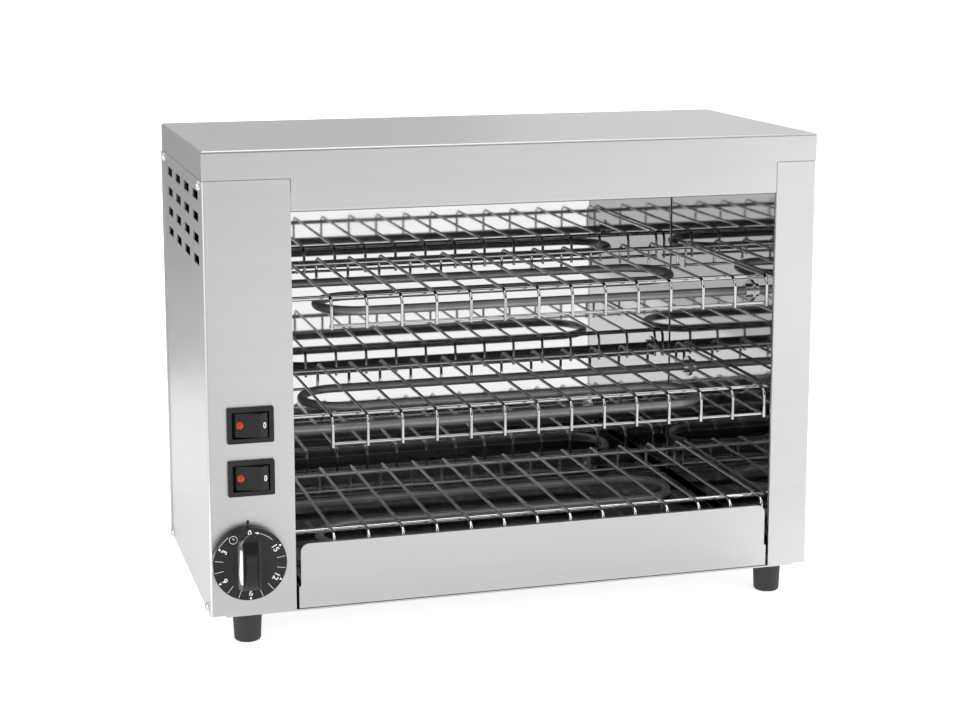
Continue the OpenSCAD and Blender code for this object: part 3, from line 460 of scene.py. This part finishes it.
def red_lens(looks, name, centre, radius):
    """Red window: darker in the middle and brighter towards its rim as painted light, under a clear gloss."""
    f = Finish(name)
    # Painted light: the colour runs from dark in the middle to bright at the rim
    ring = f.step(f.distance(centre), 0.25 * radius, 1.05 * radius)
    ripple = f.noise(f.place, 900.0, 2.0)
    return f.done(
        base_color=f.blend(ring + 0.3 * (ripple - 0.5), tone(looks.lens, 0.55), tone(looks.lens, 1.25)),
        roughness=0.14 + 0.1 * ripple,
        specular_ior_level=0.3,
        coat_weight=0.12,
        coat_roughness=0.05,
        normal=f.relief(ripple, 0.02 * MM),
    )


def screen_print(name, ink):
    """Screen-printed ink with a slightly uneven film."""
    f = Finish(name)
    film = f.noise(f.place, 1600.0, 3.0)
    return f.done(
        base_color=f.blend(f.step(film, 0.3, 0.7), tone(ink, 0.88), tone(ink, 1.05)),
        roughness=0.45 + 0.15 * film,
    )


def plain_metal(name, base, roughness):
    """Machined or plated metal with fine marks."""
    f = Finish(name)
    marks = f.noise(f.place, 700.0, 3.0)
    cloud = f.noise(f.place, 60.0, 3.0)
    return f.done(
        base_color=f.blend(cloud, tone(base, 0.88), tone(base, 1.08)),
        metallic=1.0,
        roughness=roughness + 0.12 * (marks - 0.5) + 0.1 * (cloud - 0.5),
        normal=f.relief(marks, 0.012 * MM),
    )


def dull_solid(name, base, roughness, speckle):
    """Matt ceramic or plastic with fine speckles."""
    f = Finish(name)
    grit = f.noise(f.place, speckle, 4.0, 0.6)
    return f.done(
        base_color=f.blend(f.step(grit, 0.35, 0.7), tone(base, 0.9), tone(base, 1.05)),
        roughness=roughness + 0.15 * (grit - 0.5),
        normal=f.relief(grit, 0.03 * MM),
    )


def place_piece(piece, body):
    """Put a finished piece in the scene, on its body."""
    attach(piece, body)


def new_piece(name, mesh, finish):
    """An object for a mesh, with one finish."""
    mesh.materials.clear()
    mesh.materials.append(finish)
    piece = bpy.data.objects.new(name, mesh)
    bpy.context.scene.collection.objects.link(piece)
    return piece


def close(work, name):
    """Turn mesh work into a mesh."""
    mesh = bpy.data.meshes.new(name)
    work.to_mesh(mesh)
    work.free()
    return mesh


def square(name):
    """A flat mesh one metre wide and deep."""
    work = bmesh.new()
    bmesh.ops.create_grid(work, x_segments=1, y_segments=1, size=0.5)
    return close(work, name)


def settle(piece):
    """Turn a piece's modifiers into its mesh."""
    ready = piece.evaluated_get(bpy.context.evaluated_depsgraph_get())
    mesh = bpy.data.meshes.new_from_object(ready)
    piece.modifiers.clear()
    piece.data = mesh


def dress(node, finish, edge=0.0):
    """Finish a CAD node: the same form, welded and smooth, with its sharp edges eased."""
    mesh = frame["nodes"][node].data.copy()
    if "custom_normal" in mesh.attributes:
        mesh.attributes.remove(mesh.attributes["custom_normal"])
    work = bmesh.new()
    work.from_mesh(mesh)
    bmesh.ops.remove_doubles(work, verts=work.verts, dist=WELD_GAP)
    bmesh.ops.dissolve_limit(work, angle_limit=FLAT, verts=work.verts, edges=work.edges)
    for face in work.faces:
        face.smooth = True
        face.material_index = 0
    work.to_mesh(mesh)
    work.free()
    piece = new_piece(f"{node}_finished", mesh, finish)
    mesh.set_sharp_from_angle(angle=SHARP)
    if edge:
        bevel = piece.modifiers.new("eased edges", "BEVEL")
        bevel.width = edge
        bevel.segments = 2
        bevel.limit_method = "ANGLE"
        bevel.angle_limit = SHARP
        bevel.harden_normals = False
        weighted = piece.modifiers.new("level faces", "WEIGHTED_NORMAL")
        weighted.keep_sharp = False
        settle(piece)
    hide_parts(node)
    place_piece(piece, BODY_OF[node])


def dress_all(nodes, finish, edge=0.0):
    """Finish several CAD nodes alike."""
    for node in nodes:
        dress(node, finish, edge)


class Stencil:
    """Flat shapes on a face: the first coordinate runs to the right and the second up."""

    def __init__(self):
        self.work = bmesh.new()

    def area(self, points):
        """A filled outline."""
        self.work.faces.new([self.work.verts.new((u, 0.0, v)) for u, v in points])

    def band(self, points, width, closed=False):
        """A line of even width through points."""
        count = len(points)
        sides = []
        for i, (u, v) in enumerate(points):
            before = points[i - 1] if closed or i else points[i]
            after = points[(i + 1) % count] if closed or i + 1 < count else points[i]
            along = Vector((after[0] - before[0], after[1] - before[1])).normalized()
            across = Vector((-along.y, along.x)) * width / 2
            sides.append([self.work.verts.new((u + s * across.x, 0.0, v + s * across.y)) for s in (1, -1)])
        for i in range(count if closed else count - 1):
            a, b = sides[i], sides[(i + 1) % count]
            self.work.faces.new((a[0], a[1], b[1], b[0]))

    def words(self, text, type_size, weight, centre, angle):
        """Upright figures round a centre, turned by an angle and drawn bolder by a weight."""
        curve = bpy.data.curves.new("figures", "FONT")
        curve.body = text
        curve.size = type_size
        curve.offset = weight
        curve.align_x = "CENTER"
        curve.align_y = "CENTER"
        holder = bpy.data.objects.new("figures", curve)
        bpy.context.scene.collection.objects.link(holder)
        mesh = bpy.data.meshes.new_from_object(holder.evaluated_get(bpy.context.evaluated_depsgraph_get()))
        bpy.data.objects.remove(holder)
        across, up, _ = zip(*(corner.co for corner in mesh.vertices))
        middle = Vector(((min(across) + max(across)) / 2, (min(up) + max(up)) / 2, 0.0))
        stand = Matrix.Rotation(math.pi / 2, 4, "X")
        lean = Matrix.Rotation(angle, 4, "Z")
        move = Matrix.Translation((centre[0], centre[1], 0.0))
        mesh.transform(stand @ move @ lean @ Matrix.Translation(-middle))
        self.work.from_mesh(mesh)
        bpy.data.meshes.remove(mesh)

    def piece(self, name, where, film, finish):
        """Thicken the shapes to a film of ink on the face that a matrix gives."""
        faces = list(self.work.faces)
        grown = bmesh.ops.extrude_face_region(self.work, geom=faces)["geom"]
        raised = [v for v in grown if isinstance(v, bmesh.types.BMVert)]
        bmesh.ops.translate(self.work, verts=raised, vec=(0.0, -film, 0.0))
        bmesh.ops.recalc_face_normals(self.work, faces=self.work.faces)
        mesh = close(self.work, name)
        mesh.transform(where)
        return new_piece(name, mesh, finish)


def around(radius, angle):
    """A point on a dial, by its radius and its angle to the left from the top, in radians."""
    return (-radius * math.sin(angle), radius * math.cos(angle))


def arc(radius, start, end, steps=16):
    """Points along a dial's arc, by angles in degrees."""
    return [around(radius, math.radians(start + (end - start) * i / steps)) for i in range(steps + 1)]


def oval(width, height, steps=40):
    """Points of an oval outline."""
    turns = [2 * math.pi * i / steps for i in range(steps)]
    return [(width / 2 * math.cos(a), height / 2 * math.sin(a)) for a in turns]


class GRILL_OT_casing(bpy.types.Operator):
    """Finish the casing's sheets"""

    bl_idname = "grill.casing"
    bl_label = "Casing"

    def execute(self, context):
        looks = context.scene.grill_finishes
        edge = context.scene.grill_edges.sheet
        dress("top_cover", satin_steel(looks, "satin_cover", COVER_GRAIN), edge)
        panels = satin_steel(looks, "satin_panels", PANEL_GRAIN)
        dress_all(("left_panel", "right_panel", "base_pan"), panels, edge)
        return {"FINISHED"}


class GRILL_OT_oven(bpy.types.Operator):
    """Finish the polished walls of the oven with painted shade, dark on the ceiling and nearly black in the side
    cavities, and seal the back panel's seams
    """

    bl_idname = "grill.oven"
    bl_label = "Oven walls"

    def execute(self, context):
        looks = context.scene.grill_finishes
        edge = context.scene.grill_edges.sheet
        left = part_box("left_liner")[1].x
        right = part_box("right_liner")[0].x
        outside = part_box("back_panel")[1].y

        def beside(f):
            """Painted shade: the back panel's strips behind the liners, without its outer face."""
            return (f.past("X", left, -1) + f.past("X", right, 1)) * f.past("Y", outside, -1)

        # Each liner's and the back panel's first mask marks their faces in the side cavities, painted nearly black
        # as painted shade; the back panel's second mask leaves its outer face satin
        sides = {
            "ceiling": (),
            "left_liner": (lambda f: f.past("X", left, -1),),
            "right_liner": (lambda f: f.past("X", right, 1),),
            "back_panel": (beside, lambda f: f.past("Y", outside - SKIN, 1)),
        }
        for node, masks in sides.items():
            # The ceiling takes its dark colour as painted shade
            base = looks.ceiling if node == "ceiling" else looks.mirror
            dress(node, mirror_steel(f"mirror_{node}", base, looks.mirror_roughness, *masks), edge)
        self.sealant(context.scene.grill_edges.seam, dull_solid("sealant", looks.rubber, 0.6, 1200.0))
        return {"FINISHED"}

    def sealant(self, seam, finish):
        """A bead in the seam at each side of the back panel, a little below its outer face."""
        low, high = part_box("back_panel")
        depth = BEAD_FILL * (high.y - low.y)
        work = bmesh.new()
        for x in (low.x - seam / 2, high.x + seam / 2):
            middle = Matrix.Translation((x, low.y + depth / 2, (low.z + high.z) / 2))
            shape = Matrix.Diagonal((seam, depth, high.z - low.z, 1.0))
            bmesh.ops.create_cube(work, size=1.0, matrix=middle @ shape)
        bead = new_piece("back_sealant", close(work, "back_sealant"), finish)
        place_piece(bead, BODY_OF["back_panel"])


class GRILL_OT_racks(bpy.types.Operator):
    """Finish the racks and add the welds at their crossings"""

    bl_idname = "grill.racks"
    bl_label = "Racks"

    def execute(self, context):
        rack = context.scene.grill_rack
        looks = context.scene.grill_finishes
        for level in LEVELS:
            # The lowest rack takes a paler wire colour as painted light, the upper racks a darker one as painted
            # shade
            wire = bright_wire(f"{level}_wire", looks.wire_painted_lit if level == "bottom" else looks.wire)
            dress_all((f"rack_{level}_wires", f"rack_{level}_frame"), wire)
            self.welds(rack, level, wire)
        return {"FINISHED"}

    def welds(self, rack, level, finish):
        """A small nugget between each wire and each rod."""
        node = f"rack_{level}_wires"
        low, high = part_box(node)
        half = rack.wire_d / 2
        step = (high.x - low.x - rack.wire_d) / (rack.wires - 1)
        work = bmesh.new()
        for y in (low.y + half + rack.rod_front, high.y - half - rack.rod_rear):
            for i in range(rack.wires):
                seat = Matrix.Translation((low.x + half + i * step, y, high.z - rack.wire_d))
                squash = Matrix.Diagonal((1.0, 1.0, NUGGET_HEIGHT, 1.0))
                bmesh.ops.create_icosphere(work, subdivisions=2, radius=rack.nugget, matrix=seat @ squash)
        for face in work.faces:
            face.smooth = True
        name = f"rack_{level}_welds"
        place_piece(new_piece(name, close(work, name), finish), BODY_OF[node])


class GRILL_OT_heaters(bpy.types.Operator):
    """Finish the heaters, their fittings and their terminals"""

    bl_idname = "grill.heaters"
    bl_label = "Heaters"

    def execute(self, context):
        looks = context.scene.grill_finishes
        edge = context.scene.grill_edges.metal
        for level in LEVELS:
            # The lowest heater takes a paler sheath colour as painted light
            base = looks.sheath_painted_lit if level == "bottom" else looks.sheath
            dress(f"heater_{level}", heater_sheath(f"{level}_sheath", base))
        plated = plain_metal("plated_fittings", looks.plated, 0.24)
        dress_all(("heater_fittings", "heater_nuts", "heater_pins"), plated, edge)
        dress("heater_insulators", dull_solid("heater_ceramic", looks.ceramic, 0.55, 900.0), edge)
        return {"FINISHED"}


class GRILL_OT_tray(bpy.types.Operator):
    """Finish the crumb tray"""

    bl_idname = "grill.tray"
    bl_label = "Crumb tray"

    def execute(self, context):
        looks = context.scene.grill_finishes
        edge = context.scene.grill_edges.sheet
        dress("tray_front", satin_steel(looks, "satin_tray", COVER_GRAIN), edge)
        # The pan is the oven walls' steel in a darker colour, as painted shade
        dress("tray_pan", mirror_steel("dulled_pan", looks.pan, 0.04), edge)
        return {"FINISHED"}


class GRILL_OT_switches(bpy.types.Operator):
    """Finish the rocker switches and print their marks"""

    bl_idname = "grill.switches"
    bl_label = "Switches"

    def execute(self, context):
        looks = context.scene.grill_finishes
        edges = context.scene.grill_edges
        bezel = black_plastic(looks, "switch_plastic", 0.38)
        rocker = black_plastic(looks, "rocker_plastic", 0.33)
        ink = screen_print("rocker_print", looks.print_white)
        for name in SWITCHES:
            dress(f"switch_{name}_body", bezel, edges.moulding)
            dress(f"switch_{name}_rocker", rocker, edges.moulding)
            low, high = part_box(f"switch_{name}_lens")
            radius = (high.z - low.z) / 2
            window = red_lens(looks, f"lens_{name}", (low + high) / 2, radius)
            dress(f"switch_{name}_lens", window, edges.metal)
            self.mark(context, f"{name}_rocker", ink)
        dress("switch_tabs", plain_metal("plated_tabs", looks.plated, 0.3), edges.metal)
        return {"FINISHED"}

    def mark(self, context, body, ink):
        """An upright ring on the rocker's raised shoulder."""
        sizes = context.scene.grill_rocker
        stencil = Stencil()
        ring = oval(sizes.mark_width - sizes.mark_stroke, sizes.mark_height - sizes.mark_stroke)
        stencil.band(ring, sizes.mark_stroke, closed=True)
        seat = Matrix.Translation((sizes.mark_reach, -sizes.mark_rise, 0.0))
        slope = Matrix.Rotation(sizes.shoulder, 4, "Z")
        where = Matrix.Translation(PIVOT_OF[body]) @ Matrix.Rotation(sizes.tilt, 4, "Z") @ seat @ slope
        mark = stencil.piece(f"{body}_mark", where, context.scene.grill_dial.film, ink)
        place_piece(mark, body)


class GRILL_OT_timer(bpy.types.Operator):
    """Finish the timer and print its dial"""

    bl_idname = "grill.timer"
    bl_label = "Timer"

    def execute(self, context):
        looks = context.scene.grill_finishes
        edges = context.scene.grill_edges
        dress("timer_knob", black_plastic(looks, "knob_plastic", 0.16), edges.moulding)
        rubbed = black_plastic(looks, "rubbed_plastic", 0.16, lambda f: f.past("X", HUB.x, -1))
        self.hollow(context, rubbed)
        dress("timer_case", plain_metal("timer_zinc", looks.zinc, 0.42), edges.metal)
        plated = plain_metal("plated_timer", looks.plated, 0.26)
        dress_all(("timer_shaft", "timer_screws_pair", "timer_tabs"), plated, edges.metal)
        self.dial(context, screen_print("dial_print", looks.print_white))
        self.index(context, screen_print("index_print", looks.plastic))
        return {"FINISHED"}

    def hollow(self, context, finish):
        """A hollowed strip round the foot of the grip, blended into its flanks and the dial's face."""
        g = context.scene.grill_grip
        half = g.width / 2
        tip = g.shoulder + math.sqrt(g.point_r**2 - (g.point_r - half) ** 2)
        span = (tip + g.tail) / 2
        middle = (tip - g.tail) / 2
        bow = g.height - g.end
        arch = (span**2 + bow**2) / (2 * bow)
        draft = (g.width - g.crest) / 2 / g.height
        face = CORNER.y - context.scene.grill_dial.face
        work = bmesh.new()
        rings = []
        for (u, v), (nu, nv) in self.foot(g, half, tip):
            top = g.height - arch + math.sqrt(max(arch**2 - (v - middle) ** 2, 0.0))
            reach = min(g.hollow, HOLLOW_MOST * top)
            section = [(reach * out, reach * up) for out, up in self.profile(g.sweep)]
            section.append((-half / 2, 0.0))
            ring = []
            for out, up in section:
                out -= draft * up
                ring.append(work.verts.new((HUB.x + u + nu * out, face - up, HUB.z + v + nv * out)))
            rings.append(ring)
        for ring, after in zip(rings, rings[1:] + rings[:1]):
            for k in range(len(ring)):
                work.faces.new((ring[k], ring[k - 1], after[k - 1], after[k]))
        bmesh.ops.recalc_face_normals(work, faces=work.faces)
        for flat in work.faces:
            flat.smooth = True
        mesh = close(work, "grip_hollow")
        mesh.set_sharp_from_angle(angle=SHARP)
        place_piece(new_piece("grip_hollow", mesh, finish), "timer_knob")

    def profile(self, sweep):
        """Points of the hollow's section, one wide and one high, from the dial's face to the flank."""
        shares = [k / HOLLOW_STEPS for k in range(HOLLOW_STEPS + 1)]
        slope = [Vector((1 - t, t)) for t in shares]
        bend = [Vector((1 - math.sin(math.pi / 2 * t), 1 - math.cos(math.pi / 2 * t))) for t in shares]
        return [flat.lerp(curved, sweep) for flat, curved in zip(slope, bend)]

    def foot(self, g, half, tip):
        """Points round the grip's foot with their outward directions, from the tail's right corner."""
        flank = [-g.tail + (g.shoulder + g.tail) * i / FLANK_STEPS for i in range(FLANK_STEPS + 1)]
        right = [((half, v), (1.0, 0.0)) for v in flank]
        far = math.asin((tip - g.shoulder) / g.point_r)
        for i in range(1, POINT_STEPS):
            a = far * i / POINT_STEPS
            place = (half - g.point_r + g.point_r * math.cos(a), g.shoulder + g.point_r * math.sin(a))
            right.append((place, (math.cos(a), math.sin(a))))
        left = [((-u, v), (-nu, nv)) for (u, v), (nu, nv) in reversed(right)]
        return right + [((0.0, tip), (0.0, 1.0))] + left

    def dial(self, context, ink):
        """Numbers, ticks, pointers, a curved arrow and a clock sign."""
        d = context.scene.grill_dial
        stencil = Stencil()
        stencil.words("0", d.zero_size, d.weight, around(d.zero_r, 0.0), 0.0)
        for degrees, number in NUMBERS.items():
            angle = math.radians(degrees)
            stencil.words(number, d.number_size, d.weight, around(d.number_r, angle), angle)
            self.pointer(stencil, d, angle)
        for angle in map(math.radians, TICKS):
            ends = [around(d.tick_r, angle), around(d.tick_r + d.tick_length, angle)]
            stencil.band(ends, d.stroke)
        self.arrow(stencil, d)
        self.clock(stencil, d)
        where = Matrix.Translation((HUB.x, CORNER.y - d.face, HUB.z))
        place_piece(stencil.piece("dial_marks", where, d.film, ink), "timer_knob")

    def pointer(self, stencil, d, angle):
        """A small triangle at the rim, pointing outwards."""
        base = d.rim_r - d.pointer
        spread = d.pointer / 2 / base
        corners = ((base, angle - spread), (base, angle + spread), (d.rim_r, angle))
        stencil.area([around(*corner) for corner in corners])

    def arrow(self, stencil, d):
        """A curved arrow towards the nought, and a thin arc from the clock to the first number."""
        stencil.band(arc(d.arrow_r, *ARROW_LINE), d.stroke)
        half = ARROW_WIDTH / 2 * d.pointer
        back, tip = map(math.radians, ARROW_HEAD)
        head = ((d.arrow_r - half, back), (d.arrow_r + half, back), (d.arrow_r, tip))
        stencil.area([around(*corner) for corner in head])
        stencil.band(arc(d.rim_r - d.stroke, *CLOCK_LINE), d.stroke)

    def clock(self, stencil, d):
        """A ring with two hands."""
        u, v = around(d.clock_r, math.radians(CLOCK_TURN))
        ring = [(u + a, v + b) for a, b in oval(2 * d.clock_size, 2 * d.clock_size)]
        stencil.band(ring, d.stroke, closed=True)
        for across, up in CLOCK_HANDS:
            stencil.band([(u, v), (u + across * d.clock_size, v + up * d.clock_size)], d.stroke)

    def index(self, context, ink):
        """A short black mark on the panel over the dial."""
        d = context.scene.grill_dial
        stencil = Stencil()
        stencil.area(oval(d.index_width, d.index_height))
        where = Matrix.Translation((HUB.x, CORNER.y, HUB.z + d.index_rise))
        place_piece(stencil.piece("index_mark", where, d.film, ink), BODY_OF["left_panel"])


class GRILL_OT_feet(bpy.types.Operator):
    """Finish the feet with their screws and nuts"""

    bl_idname = "grill.feet"
    bl_label = "Feet"

    def execute(self, context):
        looks = context.scene.grill_finishes
        edge = context.scene.grill_edges.metal
        feet = [f"foot_{end}_{side}" for end in ("front", "back") for side in ("left", "right")]
        dress_all(feet, black_rubber(looks), edge)
        dress_all(("foot_screws", "foot_nuts"), plain_metal("plated_feet", looks.plated, 0.28), edge)
        return {"FINISHED"}


class GRILL_OT_fasteners(bpy.types.Operator):
    """Finish the casing's screws"""

    bl_idname = "grill.fasteners"
    bl_label = "Casing screws"

    def execute(self, context):
        plated = plain_metal("plated_screws", context.scene.grill_finishes.plated, 0.2)
        screws = ("side_screws_left", "side_screws_right", "back_screws")
        dress_all(screws, plated, context.scene.grill_edges.metal)
        return {"FINISHED"}


class GRILL_OT_supply(bpy.types.Operator):
    """Finish the cable gland, the terminals and the inner wiring"""

    bl_idname = "grill.supply"
    bl_label = "Supply"

    def execute(self, context):
        looks = context.scene.grill_finishes
        edges = context.scene.grill_edges
        gland = dull_solid("gland_plastic", looks.rubber, 0.5, 1400.0)
        dress_all(("cable_gland", "gland_nut"), gland, edges.metal)
        dress("terminal_block", dull_solid("block_ceramic", looks.ceramic, 0.6, 800.0), edges.moulding)
        brass = plain_metal("brass", looks.brass, 0.28)
        dress_all(("terminal_inserts", "earth_stud"), brass, edges.metal)
        sleeve = dull_solid("lead_sleeve", looks.sleeve, 0.5, 1100.0)
        dress_all(("left_leads", "right_leads"), sleeve)
        return {"FINISHED"}


def glow(name, brightness):
    """A plain light-giving surface for a card."""
    f = Finish(name)
    grey = (brightness, brightness, brightness, 1.0)
    return f.done(base_color=BLACK, roughness=1.0, emission_color=grey, emission_strength=1.0)


# Lamps: place, the point that they face, width and depth
SOFTBOXES = {
    "overhead": ((0.0, -0.1, 1.8), (0.0, -0.1, 0.0), 1.5, 0.9),
    "fill": ((1.3, -1.5, 1.5), (0.5, -0.6, 0.0), 0.9, 0.9),
}
# Cards round the grill: middle, turn to the left, tilt up from lying, width and height
CARDS = {
    "floor_front": ((1.94, -2.25, 0.001), 0, 0, 4.2, 4.0),
    "floor_left": ((-2.26, -2.25, 0.001), 0, 0, 4.2, 4.0),
    "floor_near": ((-0.3, -0.185, 0.001), 0, 0, 1.0, 0.13),
    "floor_side": ((-0.75, 0.025, 0.001), 0, 0, 1.05, 0.55),
    "floor_rear": ((0.0, 2.3, 0.001), 0, 0, 8.0, 4.0),
    "left_low": ((-0.375, -0.145, 0.002), 0, 0, 0.11, 0.13),
    "front_high": ((0.0, -2.2, 1.4), 0, 90, 5.0, 1.8),
    "front_right": ((1.15, -1.25, 0.13), 0, 90, 1.0, 0.26),
    "left": ((-1.1, -0.3, 0.3), 90, 90, 0.8, 0.6),
    "rear_low": ((-1.4, 0.75, 0.06), 0, 90, 2.4, 0.12),
    "rear_left": ((-1.4, 0.75, 0.29), 0, 90, 2.4, 0.34),
    "rear_high": ((-1.0, 1.5, 1.05), 0, 90, 2.9, 1.2),
    "rear_right": ((1.95, 1.5, 1.05), 0, 90, 3.0, 1.2),
}


def card(name, middle, left_turn, tilt, width, height, brightness):
    """A card seen only in reflections."""
    stand = Matrix.Rotation(math.radians(left_turn), 4, "Z") @ Matrix.Rotation(math.radians(tilt), 4, "X")
    mesh = square(name)
    mesh.transform(Matrix.Translation(middle) @ stand @ Matrix.Diagonal((width, height, 1.0, 1.0)))
    board = new_piece(name, mesh, glow(name, brightness))
    board.visible_camera = False
    board.visible_diffuse = False
    board.visible_transmission = False
    board.visible_shadow = False


def softbox(name, where, aim, width, depth, brightness):
    """A rectangular lamp of an even brightness, aimed at a point."""
    lamp = bpy.data.lights.new(name, "AREA")
    lamp.shape = "RECTANGLE"
    lamp.size = width
    lamp.size_y = depth
    lamp.energy = brightness * math.pi * width * depth
    holder = bpy.data.objects.new(name, lamp)
    holder.location = where
    holder.rotation_euler = (Vector(aim) - Vector(where)).to_track_quat("-Z", "Y").to_euler()
    bpy.context.scene.collection.objects.link(holder)


class GRILL_OT_stage(bpy.types.Operator):
    """Set the floor, the light and the camera"""

    bl_idname = "grill.stage"
    bl_label = "Stage"

    def execute(self, context):
        stage = context.scene.grill_stage
        self.floor(stage)
        self.room(context.scene, stage)
        for name, shape in SOFTBOXES.items():
            softbox(f"{name}_box", *shape, getattr(stage, name))
        for name, shape in CARDS.items():
            card(f"{name}_card", *shape, getattr(stage, name))
        self.camera(context.scene, stage)
        return {"FINISHED"}

    def floor(self, stage):
        """A wide pale floor."""
        f = Finish("floor_paper")
        fibre = f.noise(f.place, 240.0, 3.0)
        paper = f.blend(fibre, tone(stage.floor, 0.99), tone(stage.floor, 1.01))
        f.done(base_color=paper, roughness=0.85, emission_color=WHITE, emission_strength=stage.lit)
        mesh = square("floor")
        mesh.transform(Matrix.Diagonal((FLOOR_WIDTH, FLOOR_WIDTH, 1.0, 1.0)))
        new_piece("floor", mesh, f.material)

    def room(self, scene, stage):
        """A white room all round."""
        world = bpy.data.worlds.new("white_room")
        world.use_nodes = True
        background = world.node_tree.nodes["Background"]
        background.inputs["Color"].default_value = WHITE
        background.inputs["Strength"].default_value = stage.room
        scene.world = world
        scene.view_settings.view_transform = "Standard"

    def camera(self, scene, stage):
        """The photograph's view."""
        data = bpy.data.cameras.new("camera")
        data.lens = stage.lens_mm
        data.shift_y = stage.shift
        data.clip_end = 100.0
        camera = bpy.data.objects.new("camera", data)
        camera.location = CORNER + Vector(stage.eye)
        camera.rotation_euler = (math.pi / 2 - stage.pitch, 0.0, -stage.heading)
        scene.collection.objects.link(camera)
        scene.camera = camera


STEPS = (
    GRILL_OT_casing,
    GRILL_OT_oven,
    GRILL_OT_racks,
    GRILL_OT_heaters,
    GRILL_OT_tray,
    GRILL_OT_switches,
    GRILL_OT_timer,
    GRILL_OT_feet,
    GRILL_OT_fasteners,
    GRILL_OT_supply,
    GRILL_OT_stage,
)


class GRILL_PT_panel(bpy.types.Panel):
    """Lists the grill's steps"""

    bl_idname = "GRILL_PT_panel"
    bl_label = "Open toaster grill"
    bl_space_type = "VIEW_3D"
    bl_region_type = "UI"
    bl_category = "Grill"

    def draw(self, context):
        for step in STEPS:
            self.layout.operator(step.bl_idname)
        for group in GROUPS:
            box = self.layout.box()
            box.label(text=group.replace("grill_", "").capitalize())
            settings = getattr(context.scene, group)
            for name in settings.__annotations__:
                box.prop(settings, name)


GROUPS = {
    "grill_finishes": GrillFinishes,
    "grill_edges": GrillEdges,
    "grill_rack": GrillRack,
    "grill_dial": GrillDial,
    "grill_grip": GrillGrip,
    "grill_rocker": GrillRocker,
    "grill_stage": GrillStage,
}
CLASSES = (*GROUPS.values(), *STEPS, GRILL_PT_panel)


def register():
    """Make the settings, steps and panel known."""
    for known in CLASSES:
        bpy.utils.register_class(known)
    for name, group in GROUPS.items():
        setattr(bpy.types.Scene, name, PointerProperty(type=group))


def unregister():
    """Forget the settings, steps and panel."""
    for name in GROUPS:
        delattr(bpy.types.Scene, name)
    for known in reversed(CLASSES):
        bpy.utils.unregister_class(known)


def main():
    """Run every step."""
    register()
    for step in STEPS:
        group, name = step.bl_idname.split(".")
        getattr(getattr(bpy.ops, group), name)()


if __name__ == "__main__":
    main()
